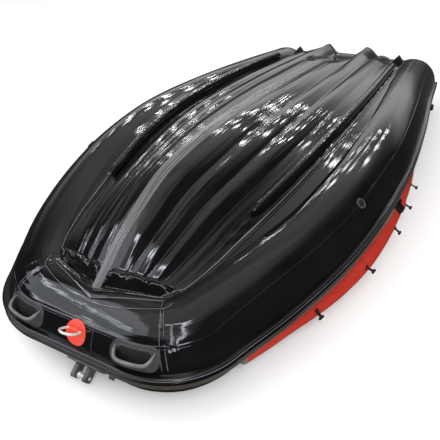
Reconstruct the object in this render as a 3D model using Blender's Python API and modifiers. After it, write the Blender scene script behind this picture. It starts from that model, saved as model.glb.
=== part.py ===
"""Inflatable motor boat, lying bottom up on its bow tube and on the ends of its side tubes.

The boat is modelled level, in metres: x to starboard, y aft from the bow, z towards the keel.
The empty "stance" then tips it, so that it lies as it does on a floor.
"""

import math

import bmesh
import bpy
from mathutils import Matrix, Vector

# Main tube
TUBE_R = 0.215
BOW_AXIS_Y = 0.215
BOW_AXIS_Z = 0.296
CORNER_R = 0.217
CORNER_TURN = math.radians(63.0)
CORNER_X = 0.252
CORNER_Z = 0.330
CORNER_STEPS = 8
BOW_XS = (0.0, 0.08, 0.16, CORNER_X)
SIDE_STEPS = 22
END_AXIS_Y = 3.945
END_ANGLES = (15, 30, 45, 58, 70, 80, 87)
MITRE = 8
GAP = 0.0003

# Middle of the boat's whole length once it is tipped, ring and tube ends included
MIDDLE_Y = 2.0844

# Axis of the side tubes, columns: y aft, x off the centreline, z
SIDE_AXIS = (
    (0.62, 0.585, 0.397),
    (1.00, 0.708, 0.467),
    (1.40, 0.773, 0.537),
    (1.90, 0.796, 0.588),
    (2.60, 0.756, 0.599),
    (3.30, 0.689, 0.584),
    (END_AXIS_Y, 0.641, 0.551),
)

# Inflated bottom, columns: y at the keel, keel z, flange off the tube axis, aft skew of the flange
BOTTOM = (
    (0.172, 0.522, 0.090, 0.100),
    (0.260, 0.585, 0.095, 0.080),
    (0.350, 0.654, 0.100, 0.060),
    (0.470, 0.727, 0.120, 0.040),
    (0.740, 0.854, 0.165, 0.000),
    (1.050, 0.905, 0.195, 0.000),
    (1.420, 0.928, 0.198, 0.000),
    (2.000, 0.924, 0.185, 0.000),
    (2.600, 0.905, 0.150, 0.000),
    (3.050, 0.884, 0.122, 0.000),
    (3.500, 0.858, 0.100, 0.000),
    (3.930, 0.832, 0.085, 0.000),
)
BOTTOM_START = BOTTOM[0][0]
BOTTOM_END = BOTTOM[-1][0]
STATIONS = (0.172, 0.215, 0.26, 0.31, 0.37, 0.44, 0.53, 0.64, 0.78, 0.95, 1.15, 1.4, 1.7, 2.0,
            2.3, 2.6, 2.85, 3.05, 3.2, 3.35, 3.5, 3.65, 3.8, BOTTOM_END)
BOW_EDGE_HALF = 0.300
FLANGE_RISE = 0.196
COCKPIT_RISE = 0.030
COCKPIT_INBOARD = 0.045
LANDING_DROP = 0.024
CREASES = (0.068, 0.325, 0.535, 0.745)
OUTER_SHARES = (0.82, 0.90, 0.96, 1.0)
LOBE_HEIGHT = 0.016
LOBE_STEPS = 5
LOBE_FADE = 0.25
TUNNEL_START = 3.02
TUNNEL_FLOOR_SHARE = 0.190
TUNNEL_EDGE_SHARE = CREASES[1]
TUNNEL_FLOOR_Z = 0.755
RIDGE_LIFT = 0.030
RIDGE_SPREAD = 0.20
STERN_DROP = 0.030
STERN_DROP_START = 3.58

# Strips and small tubes of the hull
STRAKE_HALF = 0.028
STRAKE_OUT = 0.023
STRAKE_SPLIT = 13
# Share by which the strake stands further out round each bow corner, and how many path steps that reaches
STRAKE_FLARE = 0.45
STRAKE_FLARE_STEPS = 3.5
CHINE_R = 0.027
CHINE_INBOARD = 0.036
CHINE_START = 0.86
CHINE_END = 3.50
CHINE_STEPS = 24
CHINE_SINK = 0.003
CHINE_TAPER = {0: 0.35, 1: 0.85, CHINE_STEPS - 1: 0.95, CHINE_STEPS: 0.5}
KEEL_STRIP_T = 0.004
KEEL_STRIP_END = 3.40
KEEL_STRIP_LIFT = 0.0005

# Side bolsters, columns: y aft, radius
BOLSTER = (
    (0.42, 0.019),
    (0.62, 0.028),
    (0.90, 0.048),
    (1.20, 0.066),
    (1.45, 0.070),
    (1.75, 0.066),
    (2.10, 0.060),
    (2.36, 0.053),
)
BOLSTER_ANGLE = math.radians(-50.0)
BOLSTER_SINK = 0.012
BOLSTER_STEPS = 18
BOLSTER_END_ANGLES = (25, 45, 62, 76, 86)

# Transom
TRANSOM_T = 0.040
TRANSOM_GAP = 0.00045
TRANSOM_DECK_Z = 0.372
TRANSOM_DECK_HALF = 0.400
TRANSOM_CHAMFER = 0.045
TRANSOM_NOTCH_Z = 0.400
TRANSOM_NOTCH_HALF = 0.210
NOTCH_SLOPE = 0.060
TRANSOM_RAKE = math.tan(math.radians(7.0))
# The board's side, buried against the tube, as distances out and up from the tube's axis
TRANSOM_TUBE_SIDE = ((-0.030, 0.150), (-0.100, 0.030))
# The board's corner, which stands up between the bottom and the tube
EAR_X = 0.496
EAR_HALF = 0.042
EAR_TOP_Z = 0.786
EAR_FOOT_Z = 0.738
PLATE_W = 0.300
PLATE_T = 0.008
PLATE_OUTER_H = 0.180
PLATE_OUTER_Z = 0.500
PLATE_INNER_H = 0.090
PLATE_INNER_Z = 0.455
KNEE_X = 0.490
KNEE_Z = 0.570
KNEE_W = 0.150
KNEE_H = 0.300
KNEE_T = 0.060
DRAIN_X = 0.300
DRAIN_Z = 0.660
DRAIN_R = 0.032
DRAIN_T = 0.012

# Fittings on the bow tube
FRONT_ANGLE = math.radians(25.0)
BLANK_T = 0.060
HANDLE_X = 0.313
HANDLE_W = 0.236
HANDLE_H = 0.110
HANDLE_CORNER = 0.045
HANDLE_BASE_T = 0.008
SCOOP_HALF = 0.096
SCOOP_END_V = 0.030
SCOOP_DIP = 0.046
SCOOP_FOOT_V = -0.046
SCOOP_OUT = 0.044
SCOOP_BULGE = 0.010
SCOOP_T = 0.006
SCOOP_COLUMNS = 12
SCOOP_ROWS = 4
PATCH_W = 0.112
PATCH_H = 0.122
PATCH_T = 0.003
WEBBING_W = 0.058
WEBBING_H = 0.022
WEBBING_T = 0.020
WEBBING_UP = 0.016
RING_HALF = 0.040
RING_WAIST = 0.033
RING_KNEE = 0.010
RING_SHOULDER = 0.035
RING_REACH = 0.070
RING_ROD = 0.0045
RING_CLEARANCE = 0.0006
ROLLER_ANGLE = math.radians(-36.0)
ROLLER_R = 0.016
ROLLER_W = 0.036
PIN_R = 0.005
PIN_INSET = 0.022
PIN_CLEARANCE = 0.0006
BRACKET_W = 0.200
BRACKET_H = 0.070
BRACKET_T = 0.008
BRACKET_CORNER = 0.015
CHEEK_X = 0.034
CHEEK_T = 0.022
CHEEK_H = 0.052
CHEEK_OUT = 0.074
CHEEK_CORNER = 0.012

# Fittings on the side tubes
VALVE_Y = 1.242
VALVE_ANGLE = math.radians(47.4)
VALVE_R = 0.028
VALVE_H = 0.016
VALVE_SINK = 0.010
LIFT_LOOP_Y = 3.144
LIFT_LOOP_ANGLE = math.radians(-1.5)
LIFT_LOOP_LENGTH = 0.080
LIFT_LOOP_WIDTH = 0.034
LIFT_LOOP_OUT = 0.020
LIFT_LOOP_CORNER = 0.009
ROWLOCK_Y = 1.715
ROWLOCK_ANGLE = math.radians(46.0)
ROWLOCK_LENGTH = 0.107
ROWLOCK_WIDTH = 0.076
ROWLOCK_CORNER = 0.030
ROWLOCK_T = 0.012
BARREL_R = 0.022
BARREL_H = 0.018
CAP_R = 0.016
CAP_T = 0.005

# Cover toggles, columns: y aft, angle of the root round the bolster, angle that the strap leans at
TOGGLES = (
    (0.804, 26, -50),
    (1.172, 15, -15),
    (1.581, -13, -40),
    (1.830, -6, -25),
    (2.080, -1, -25),
)
TOGGLE_LENGTH = 0.040
TOGGLE_STRAP_W = 0.014
TOGGLE_STRAP_T = 0.005
TOGGLE_BAR_R = 0.006
TOGGLE_BAR_LENGTH = 0.034
TOGGLE_FOOT_R = 0.012
TOGGLE_FOOT_T = 0.010


def clear_scene():
    for thing in list(bpy.data.objects):
        bpy.data.objects.remove(thing, do_unlink=True)


def smooth(table, key, column):
    """Value of a column at a key, on a cubic through the table's rows."""
    first, last = table[0], table[-1]
    if key <= first[0]:
        slope = (table[1][column] - first[column]) / (table[1][0] - first[0])
        return first[column] + slope * (key - first[0])
    if key >= last[0]:
        slope = (last[column] - table[-2][column]) / (last[0] - table[-2][0])
        return last[column] + slope * (key - last[0])
    index = max(i for i in range(len(table) - 1) if table[i][0] <= key)

    def slope_at(i):
        before = table[max(i - 1, 0)]
        after = table[min(i + 1, len(table) - 1)]
        return (after[column] - before[column]) / (after[0] - before[0])

    start, end = table[index], table[index + 1]
    span = end[0] - start[0]
    t = (key - start[0]) / span
    return (
        (2 * t**3 - 3 * t**2 + 1) * start[column]
        + (t**3 - 2 * t**2 + t) * span * slope_at(index)
        + (3 * t**2 - 2 * t**3) * end[column]
        + (t**3 - t**2) * span * slope_at(index + 1)
    )


CORNER_END_X = CORNER_X + CORNER_R * math.sin(CORNER_TURN)
CORNER_END_Y = BOW_AXIS_Y + CORNER_R * (1 - math.cos(CORNER_TURN))
AXIS = ((CORNER_END_Y, CORNER_END_X, CORNER_Z),) + SIDE_AXIS
HEIGHT = ((BOW_AXIS_Y, 0, BOW_AXIS_Z),) + SIDE_AXIS


def axis_at(y):
    """Point of the starboard tube's axis at a distance aft, past the corner."""
    return Vector((smooth(AXIS, y, 1), y, smooth(HEIGHT, y, 2)))


def tube_axis():
    """Points of the main tube's axis from the bow's centre to the starboard end."""
    points = [Vector((x, BOW_AXIS_Y, BOW_AXIS_Z)) for x in BOW_XS]
    for step in range(1, CORNER_STEPS + 1):
        turn = CORNER_TURN * step / CORNER_STEPS
        x = CORNER_X + CORNER_R * math.sin(turn)
        y = BOW_AXIS_Y + CORNER_R * (1 - math.cos(turn))
        points.append(Vector((x, y, smooth(HEIGHT, y, 2))))
    for step in range(1, SIDE_STEPS + 1):
        points.append(axis_at(CORNER_END_Y + (END_AXIS_Y - CORNER_END_Y) * step / SIDE_STEPS))
    return points


AXIS_POINTS = tube_axis()


def directions(along):
    """Outward and upward directions square to a direction along a tube."""
    out = Vector((along.y, -along.x, 0.0)).normalized()
    up = out.cross(along).normalized()
    if up.z < 0:
        up.negate()
    return out, up


def frame_at(points, index):
    """Directions along, out and up at one point of a path."""
    before = points[max(index - 1, 0)]
    after = points[min(index + 1, len(points) - 1)]
    along = (after - before).normalized()
    out, up = directions(along)
    return along, out, up


def mirrored(points):
    return [Vector((-p.x, p.y, p.z)) for p in points]


def side_point(y, angle, radius, side=1):
    """Point at an angle and radius round a side tube's axis, with its outward direction."""
    along = (axis_at(y + 0.01) - axis_at(y - 0.01)).normalized()
    out, up = directions(along)
    ray = out * math.cos(angle) + up * math.sin(angle)
    point = axis_at(y) + ray * radius
    if side < 0:
        return mirrored([point, ray, along])
    return point, ray, along


def bow_point(x, angle, radius):
    """Point at an angle and radius round the bow tube's straight axis, with its outward direction."""
    ray = Vector((0.0, -math.cos(angle), math.sin(angle)))
    return Vector((x, BOW_AXIS_Y, BOW_AXIS_Z)) + ray * radius, ray


def bolster_point(y, angle, above, side=1):
    """Point at an angle round a bolster and a height above its skin, with its outward direction."""
    radius = smooth(BOLSTER, y, 1)
    centre = side_point(y, BOLSTER_ANGLE, TUBE_R + radius - BOLSTER_SINK, side)[0]
    _, ray, along = side_point(y, angle, 1.0, side)
    return centre + ray * (radius + above), ray, along


def set_up():
    """Collections, and the empty that tips the level boat onto its three resting places."""
    boat = bpy.data.collections.new("inflatable_boat")
    cutters = bpy.data.collections.new("cutters")
    bpy.context.scene.collection.children.link(boat)
    bpy.context.scene.collection.children.link(cutters)
    bow_low = Vector((0.0, BOW_AXIS_Y, BOW_AXIS_Z - TUBE_R))
    last = len(AXIS_POINTS) - 1
    end_low = AXIS_POINTS[last] - frame_at(AXIS_POINTS, last)[2] * TUBE_R
    tilt = math.atan2(end_low.z - bow_low.z, end_low.y - bow_low.y)
    stance = bpy.data.objects.new("stance", None)
    boat.objects.link(stance)
    stance.rotation_euler = (-tilt, 0, 0)
    stance.location = (0, -MIDDLE_Y, bow_low.y * math.sin(tilt) - bow_low.z * math.cos(tilt))
    return boat, cutters, stance


def material(name, colour, roughness, metallic=0.0):
    found = bpy.data.materials.get(name)
    if found:
        return found
    new = bpy.data.materials.new(name)
    new.use_nodes = True
    shader = new.node_tree.nodes["Principled BSDF"]
    shader.inputs["Base Color"].default_value = (*colour, 1.0)
    shader.inputs["Roughness"].default_value = roughness
    shader.inputs["Metallic"].default_value = metallic
    new.diffuse_color = (*colour, 1.0)
    return new


BLACK_PVC = ("black PVC", (0.018, 0.018, 0.02), 0.25)
RED_PVC = ("red PVC", (0.62, 0.06, 0.02), 0.4)
KEEL_PVC = ("grey keel PVC", (0.25, 0.25, 0.26), 0.35)
RUBBER = ("black rubber", (0.02, 0.02, 0.02), 0.55)
PLASTIC = ("dark grey plastic", (0.06, 0.06, 0.065), 0.5)
RED_PLASTIC = ("red plastic", (0.65, 0.06, 0.03), 0.4)
STEEL = ("steel", (0.7, 0.7, 0.7), 0.2, 1.0)
PLYWOOD = ("black plywood", (0.03, 0.03, 0.03), 0.5)


def mesh_object(name, mesh, finish=None, hidden=False):
    """Object from a mesh, under the stance. A hidden one is a cutter."""
    thing = bpy.data.objects.new(name, mesh)
    mesh.shade_smooth()
    mesh.set_sharp_from_angle(angle=math.radians(40.0))
    (CUTTERS if hidden else BOAT).objects.link(thing)
    thing.parent = STANCE
    if hidden:
        thing.hide_render = True
        thing.display_type = "WIRE"
    if finish:
        mesh.materials.clear()
        mesh.materials.append(material(*finish))
    return thing


def from_bmesh(name, shape, finish=None, hidden=False):
    bmesh.ops.recalc_face_normals(shape, faces=shape.faces)
    mesh = bpy.data.meshes.new(name)
    shape.to_mesh(mesh)
    shape.free()
    return mesh_object(name, mesh, finish, hidden)


def split_quads(shape):
    """Split quads on their shorter diagonal, so that faces meant to run side by side bend alike."""
    quads = [f for f in shape.faces if len(f.verts) == 4]
    bmesh.ops.triangulate(shape, faces=quads, quad_method="SHORT_EDGE")


def loft(name, rings, finish=None, hidden=False):
    """Closed solid through rings of equal point count."""
    shape = bmesh.new()
    rows = [[shape.verts.new(p) for p in ring] for ring in rings]
    count = len(rows[0])
    for a, b in zip(rows, rows[1:]):
        for i in range(count):
            j = (i + 1) % count
            shape.faces.new((a[i], a[j], b[j], b[i]))
    split_quads(shape)
    shape.faces.new(rows[0][::-1])
    shape.faces.new(rows[-1])
    return from_bmesh(name, shape, finish, hidden)


def tube(name, points, radii, resolution, finish=None, hidden=False, closed=False):
    """Round tube along points, from a curve with a bevel, made a mesh."""
    curve = bpy.data.curves.new(name, "CURVE")
    curve.dimensions = "3D"
    curve.twist_mode = "Z_UP"
    curve.bevel_depth = 1.0
    curve.bevel_resolution = resolution
    curve.use_fill_caps = not closed
    spline = curve.splines.new("POLY")
    spline.points.add(len(points) - 1)
    spline.use_cyclic_u = closed
    for target, point, radius in zip(spline.points, points, radii):
        target.co = (*point, 1.0)
        target.radius = radius
    guide = bpy.data.objects.new(name + " path", curve)
    bpy.context.scene.collection.objects.link(guide)
    graph = bpy.context.evaluated_depsgraph_get()
    mesh = bpy.data.meshes.new_from_object(guide.evaluated_get(graph))
    bpy.data.objects.remove(guide, do_unlink=True)
    shape = bmesh.new()
    shape.from_mesh(mesh)
    bmesh.ops.remove_doubles(shape, verts=shape.verts, dist=0.00001)
    split_quads(shape)
    return from_bmesh(name, shape, finish, hidden)


def trim(thing, point, normal):
    """Cut away what lies beyond a plane, on the side its normal points to, and close the cut."""
    shape = bmesh.new()
    shape.from_mesh(thing.data)
    geometry = shape.verts[:] + shape.edges[:] + shape.faces[:]
    bmesh.ops.bisect_plane(shape, geom=geometry, plane_co=point, plane_no=normal, clear_outer=True)
    open_edges = [e for e in shape.edges if e.is_boundary]
    bmesh.ops.contextual_create(shape, geom=open_edges)
    bmesh.ops.recalc_face_normals(shape, faces=shape.faces)
    shape.to_mesh(thing.data)
    shape.free()
    thing.data.set_sharp_from_angle(angle=math.radians(40.0))


def boolean(thing, other, operation="DIFFERENCE"):
    change = thing.modifiers.new(operation.lower() + " " + other.name, "BOOLEAN")
    change.operation = operation
    change.object = other
    change.solver = "EXACT"


def cylinder(name, radius, depth, matrix, finish=None, hidden=False, segments=24):
    shape = bmesh.new()
    bmesh.ops.create_cone(
        shape, cap_ends=True, segments=segments, radius1=radius, radius2=radius, depth=depth, matrix=matrix
    )
    return from_bmesh(name, shape, finish, hidden)


def box(name, size, matrix, finish=None, hidden=False, rounded=0.0):
    """Box whose edges along its own z can be rounded."""
    shape = bmesh.new()
    bmesh.ops.create_cube(shape, size=1.0, matrix=Matrix.Diagonal((*size, 1.0)))
    if rounded:
        upright = [e for e in shape.edges if abs(e.verts[0].co.z - e.verts[1].co.z) > size[2] / 2]
        bmesh.ops.bevel(shape, geom=upright, offset=rounded, segments=4, affect="EDGES")
    bmesh.ops.transform(shape, matrix=matrix, verts=shape.verts)
    return from_bmesh(name, shape, finish, hidden)


def basis(origin, x_axis, z_axis):
    """Matrix with its x along one direction and its z along another, at a point."""
    z = z_axis.normalized()
    x = (x_axis - z * x_axis.dot(z)).normalized()
    return Matrix.Translation(origin) @ Matrix((x, z.cross(x), z)).transposed().to_4x4()


def shift(x, y, z):
    return Matrix.Translation((x, y, z))


def turn_about(thing, point):
    """Put a moving piece's origin on its joint's axis."""
    thing.data.transform(Matrix.Translation(-point))
    thing.location = point


ACROSS = Vector((1.0, 0.0, 0.0))
TURN_TO_X = Matrix.Rotation(math.radians(90), 4, "Y")
CUTTER_LENGTH = 1.2
BORE_LENGTH = 0.08


def end_points(axis):
    """Points and radii of a tube's rounded end, past the last point of its axis."""
    along = (axis[-1] - axis[-2]).normalized()
    points, radii = [], []
    for angle in END_ANGLES:
        turn = math.radians(angle)
        points.append(axis[-1] + along * TUBE_R * math.sin(turn))
        radii.append(TUBE_R * math.cos(turn))
    return points, radii


def main_tubes():
    """Air tube in three chambers that meet at a mitre in each bow corner."""
    tips, tip_radii = end_points(AXIS_POINTS)
    start = MITRE - 2
    path = AXIS_POINTS[start:] + tips
    radii = [TUBE_R] * (len(AXIS_POINTS) - start) + tip_radii
    bow_half = AXIS_POINTS[: MITRE + 3]
    bow_path = mirrored(bow_half[::-1]) + bow_half[1:]
    bow = tube("bow_tube", bow_path, [TUBE_R] * len(bow_path), 10, BLACK_PVC)
    point = AXIS_POINTS[MITRE]
    along = frame_at(AXIS_POINTS, MITRE)[0]
    starboard = tube("starboard_tube", path, radii, 10, BLACK_PVC)
    trim(starboard, point + along * GAP / 2, -along)
    trim(bow, point - along * GAP / 2, along)
    port = tube("port_tube", mirrored(path), radii, 10, BLACK_PVC)
    point, along = mirrored([point, along])
    trim(port, point + along * GAP / 2, -along)
    trim(bow, point - along * GAP / 2, along)


def tube_cutter():
    """The main tube again in one piece, wider by the gap that touching pieces keep."""
    tips, tip_radii = end_points(AXIS_POINTS)
    half = AXIS_POINTS + tips
    radii = [TUBE_R + GAP] * len(AXIS_POINTS) + [r + GAP for r in tip_radii]
    path = mirrored(half[::-1]) + half[1:]
    return tube("main tube cutter", path, radii[::-1] + radii[1:], 10, None, True)


def flange_at(y):
    """Place of the weld flange between the bottom and the starboard tube, for a place on the keel."""
    aft = y + smooth(BOTTOM, y, 3)
    inboard = smooth(BOTTOM, y, 2)
    if aft < CORNER_END_Y:
        part = max(min((y - BOTTOM_START) / (CORNER_END_Y - BOTTOM_START), 1.0), 0.0)
        x = BOW_EDGE_HALF + (CORNER_END_X - inboard - BOW_EDGE_HALF) * part
    else:
        x = smooth(AXIS, aft, 1) - inboard
    return Vector((x, aft, smooth(HEIGHT, aft, 2) + FLANGE_RISE))


def ease(value, low, high):
    """Soft step from 0 at low to 1 at high."""
    t = max(min((value - low) / (high - low), 1.0), 0.0)
    return t * t * (3 - 2 * t)


def bottom_point(y, share):
    """Point on the bottom's outer face, for a place on the keel and a share of the way to the flange."""
    keel_z = smooth(BOTTOM, y, 1)
    flange = flange_at(y)
    z = keel_z + (flange.z - keel_z) * share
    for low, high in zip(CREASES, CREASES[1:]):
        if low < share < high:
            fade = min(max((y - BOTTOM_START) / LOBE_FADE, 0.0), 1.0)
            z += LOBE_HEIGHT * fade * math.sin(math.pi * (share - low) / (high - low))
    depth = ease(y, TUNNEL_START, BOTTOM_END)
    z += RIDGE_LIFT * depth * max(0.0, 1 - abs(share - TUNNEL_EDGE_SHARE) / RIDGE_SPREAD)
    z -= STERN_DROP * ease(y, STERN_DROP_START, BOTTOM_END) * ease(share, CREASES[1], CREASES[2])
    if share < TUNNEL_EDGE_SHARE:
        wall = (TUNNEL_EDGE_SHARE - share) / (TUNNEL_EDGE_SHARE - TUNNEL_FLOOR_SHARE)
        z += (TUNNEL_FLOOR_Z - z) * min(wall, 1.0) * depth
    return Vector((flange.x * share, y + (flange.y - y) * share, z))


def bottom_shares():
    """Places across one side of the bottom, as shares of the way from the keel to the flange."""
    shares = [0.0, CREASES[0]]
    for low, high in zip(CREASES, CREASES[1:]):
        shares += [low + (high - low) * i / LOBE_STEPS for i in range(1, LOBE_STEPS + 1)]
    return shares + list(OUTER_SHARES)


def bottom_rings(lift):
    """Sections of the inflated bottom, its outer face raised for a cutter."""
    rings = []
    for y in STATIONS:
        half = [bottom_point(y, share) for share in bottom_shares()]
        for point in half:
            point.z += lift
        flange = half[-1]
        x = flange.x + smooth(BOTTOM, y, 2) - COCKPIT_INBOARD
        axis_z = flange.z - FLANGE_RISE
        half.append(Vector((x, flange.y, axis_z + TUBE_R - LANDING_DROP)))
        half.append(Vector((x, flange.y, axis_z + COCKPIT_RISE)))
        half.append(Vector((0.0, y, axis_z + COCKPIT_RISE)))
        if y == BOTTOM_END:
            for point in half:
                point.y -= (point.z - TUNNEL_FLOOR_Z) * TRANSOM_RAKE
        rings.append(half + mirrored(half[-2:0:-1]))
    return rings


def hull_bottom(cutter):
    """Inflated V bottom with its lobes and stern tunnel, down to the cockpit's floor."""
    boolean(loft("hull_bottom", bottom_rings(0.0), BLACK_PVC), cutter)


def keel_strip():
    """Flat armour strip along the keel, down into the start of the tunnel."""
    rings = []
    for y in STATIONS:
        if y < KEEL_STRIP_END:
            keel = bottom_point(y, 0.0)
            edge = bottom_point(y, CREASES[0])
            across = mirrored([edge]) + [keel, edge]
            under = [p + Vector((0.0, 0.0, KEEL_STRIP_LIFT)) for p in across]
            over = [p + Vector((0.0, 0.0, KEEL_STRIP_T)) for p in reversed(under)]
            rings.append(under + over)
    loft("keel_strip", rings, KEEL_PVC)


def strake_profile():
    """Distance of the strake's back from the tube's axis, and its section as distances out and up from there."""
    face = TUBE_R + 2 * GAP
    outer = ((0.007, STRAKE_HALF), (0.018, 0.022), (STRAKE_OUT, 0.010), (0.016, 0.003),
             (STRAKE_OUT, -0.003), (0.020, -0.022))
    return face, [(0.0, STRAKE_HALF)] + list(outer) + [(0.0, -STRAKE_HALF)]


def strake_ring(index, nudge=0.0):
    """Section of the strake at a point of the tube's path, a little thicker round the bow corner."""
    along, out, up = frame_at(AXIS_POINTS, index)
    at = AXIS_POINTS[index] + along * nudge
    flare = 1 + STRAKE_FLARE * math.exp(-(((index - MITRE) / STRAKE_FLARE_STEPS) ** 2))
    face, profile = strake_profile()
    return [at + out * (face + a * flare) + up * b for a, b in profile]


def rub_strakes():
    """Rub strake round the outside of the main tube, in a bow length and two side lengths."""
    half = [strake_ring(index) for index in range(STRAKE_SPLIT + 1)]
    port_half = [mirrored(ring) for ring in reversed(half[1:])]
    loft("bow_rub_strake", port_half + half, RUBBER)
    rings = [strake_ring(STRAKE_SPLIT, GAP)]
    rings += [strake_ring(index) for index in range(STRAKE_SPLIT + 1, len(AXIS_POINTS))]
    loft("starboard_rub_strake", rings, RUBBER)
    loft("port_rub_strake", [mirrored(ring) for ring in rings], RUBBER)


def chine_tubes():
    """Slim tubes welded along the bottom just inboard of each weld flange."""
    points = []
    for step in range(CHINE_STEPS + 1):
        y = CHINE_START + (CHINE_END - CHINE_START) * step / CHINE_STEPS
        under = bottom_point(y, 1 - CHINE_INBOARD / flange_at(y).x)
        points.append(under + Vector((0, 0, CHINE_R - CHINE_SINK)))
    radii = [CHINE_R * CHINE_TAPER.get(step, 1.0) for step in range(CHINE_STEPS + 1)]
    bed = loft("bottom cutter", bottom_rings(2 * GAP), None, True)
    boolean(tube("starboard_chine_tube", points, radii, 3, BLACK_PVC), bed)
    boolean(tube("port_chine_tube", mirrored(points), radii, 3, BLACK_PVC), bed)


def bolster_line(grow):
    """Points and radii of the starboard bolster, its radius grown for a cutter."""
    points, radii = [], []
    first, last = BOLSTER[0][0], BOLSTER[-1][0]
    for step in range(BOLSTER_STEPS + 1):
        y = first + (last - first) * step / BOLSTER_STEPS
        radius = smooth(BOLSTER, y, 1)
        points.append(side_point(y, BOLSTER_ANGLE, TUBE_R + radius - BOLSTER_SINK)[0])
        radii.append(radius + grow)
    along = (points[-1] - points[-2]).normalized()
    end, end_radius = points[-1], smooth(BOLSTER, last, 1)
    for angle in BOLSTER_END_ANGLES:
        turn = math.radians(angle)
        points.append(end + along * end_radius * math.sin(turn))
        radii.append(end_radius * math.cos(turn) + grow)
    return points, radii


def bolsters(cutter):
    """Side bolsters along the deck side of the forward tubes, and cutters for what is welded on them."""
    points, radii = bolster_line(0.0)
    boolean(tube("starboard_bolster", points, radii, 5, RED_PVC), cutter)
    boolean(tube("port_bolster", mirrored(points), radii, 5, RED_PVC), cutter)
    points, radii = bolster_line(GAP)
    starboard_bed = tube("starboard bolster cutter", points, radii, 5, None, True)
    port_bed = tube("port bolster cutter", mirrored(points), radii, 5, None, True)
    return ("starboard", 1, starboard_bed), ("port", -1, port_bed)


def transom_point(x, z, depth):
    """Point behind the bottom's raked end at a depth aft of it, with the board's outward direction."""
    off = Vector((0.0, 1.0, TRANSOM_RAKE)).normalized()
    y = BOTTOM_END + TRANSOM_GAP - (z - TUNNEL_FLOOR_Z) * TRANSOM_RAKE
    return Vector((x, y, z)) + off * depth, off


def transom(cutter):
    """Raked plywood board between the tubes. Its keel side follows the bottom's aft end."""
    axis = axis_at(BOTTOM_END)
    inner = [share for share in bottom_shares() if share <= CREASES[-1]]
    hull_side = [bottom_point(BOTTOM_END, share) for share in inner]
    half = [(p.x, p.z) for p in hull_side]
    half += [(EAR_X - EAR_HALF, EAR_FOOT_Z), (EAR_X, EAR_TOP_Z), (EAR_X + EAR_HALF, EAR_FOOT_Z)]
    half += [(axis.x + out, axis.z + up) for out, up in TRANSOM_TUBE_SIDE]
    half += [(TRANSOM_DECK_HALF + TRANSOM_CHAMFER, TRANSOM_DECK_Z + TRANSOM_CHAMFER)]
    half += [(TRANSOM_DECK_HALF, TRANSOM_DECK_Z)]
    half += [(TRANSOM_NOTCH_HALF + NOTCH_SLOPE, TRANSOM_DECK_Z), (TRANSOM_NOTCH_HALF, TRANSOM_NOTCH_Z)]
    outline = half + [(-x, z) for x, z in reversed(half[1:])]
    rings = [[transom_point(x, z, depth)[0] for x, z in outline] for depth in (0.0, TRANSOM_T)]
    boolean(loft("transom", rings, PLYWOOD), cutter)


def transom_fittings(cutter):
    """Motor plates on both faces of the board, its drain and the knees that hold it to the tubes."""
    at, off = transom_point(0.0, PLATE_OUTER_Z, TRANSOM_T + GAP + PLATE_T / 2)
    box("outboard_plate_outer", (PLATE_W, PLATE_OUTER_H, PLATE_T), basis(at, ACROSS, off), PLASTIC)
    at, off = transom_point(0.0, PLATE_INNER_Z, -GAP - PLATE_T / 2)
    box("outboard_plate_inner", (PLATE_W, PLATE_INNER_H, PLATE_T), basis(at, ACROSS, off), PLASTIC)
    at, off = transom_point(DRAIN_X, DRAIN_Z, TRANSOM_T + GAP + DRAIN_T / 2)
    cylinder("drain_valve", DRAIN_R, DRAIN_T, basis(at, ACROSS, off), PLASTIC)
    for label, side in (("starboard", 1), ("port", -1)):
        at, off = transom_point(KNEE_X * side, KNEE_Z, TRANSOM_T + GAP + KNEE_T / 2)
        knee = box(label + "_transom_knee", (KNEE_W, KNEE_H, KNEE_T), basis(at, ACROSS, off), RUBBER)
        boolean(knee, cutter)


def wrap_on_bow(blank, top):
    """Cut a thick blank to a pad that lies round the bow tube, up to an outer radius."""
    for part_name, radius, operation in (("outer", top, "INTERSECT"), ("inner", TUBE_R + GAP, "DIFFERENCE")):
        at = shift(0, BOW_AXIS_Y, BOW_AXIS_Z) @ TURN_TO_X
        name = blank.name + " " + part_name
        boolean(blank, cylinder(name, radius, CUTTER_LENGTH, at, None, True, 48), operation)


def handle_scoop(name, x):
    """Grip of a bow handle: a half bowl that stands off the tube, open towards the keel side."""
    shape = bmesh.new()
    rows = []
    for row in range(SCOOP_ROWS + 1):
        down = row / SCOOP_ROWS
        line = []
        for column in range(SCOOP_COLUMNS + 1):
            u = 2 * column / SCOOP_COLUMNS - 1
            arch = 1 - u**4
            lip_v = SCOOP_END_V - SCOOP_DIP * arch
            lip_w = HANDLE_BASE_T / 2 + SCOOP_OUT * arch
            v = lip_v + (SCOOP_FOOT_V - lip_v) * down
            w = lip_w + (HANDLE_BASE_T / 2 - lip_w) * down + SCOOP_BULGE * arch * math.sin(math.pi * down)
            at = bow_point(x + u * SCOOP_HALF, FRONT_ANGLE + v / TUBE_R, TUBE_R + w)[0]
            line.append(shape.verts.new(at))
        rows.append(line)
    for a, b in zip(rows, rows[1:]):
        for i in range(SCOOP_COLUMNS):
            shape.faces.new((a[i], a[i + 1], b[i + 1], b[i]))
    scoop = from_bmesh(name, shape, None, True)
    wall = scoop.modifiers.new("wall", "SOLIDIFY")
    wall.thickness = SCOOP_T
    wall.offset = 0.0
    return scoop


def bow_handles():
    """Moulded carry handles: a flat base glued to the tube, and a scoop to grip."""
    at, ray = bow_point(0.0, FRONT_ANGLE, TUBE_R)
    for label, x in (("starboard", HANDLE_X), ("port", -HANDLE_X)):
        frame = shift(x, 0, 0) @ basis(at, ACROSS, ray)
        size = (HANDLE_W, HANDLE_H, BLANK_T)
        base = box(label + "_bow_handle", size, frame, PLASTIC, False, HANDLE_CORNER)
        wrap_on_bow(base, TUBE_R + HANDLE_BASE_T)
        boolean(base, handle_scoop(label + " scoop", x), "UNION")


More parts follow.
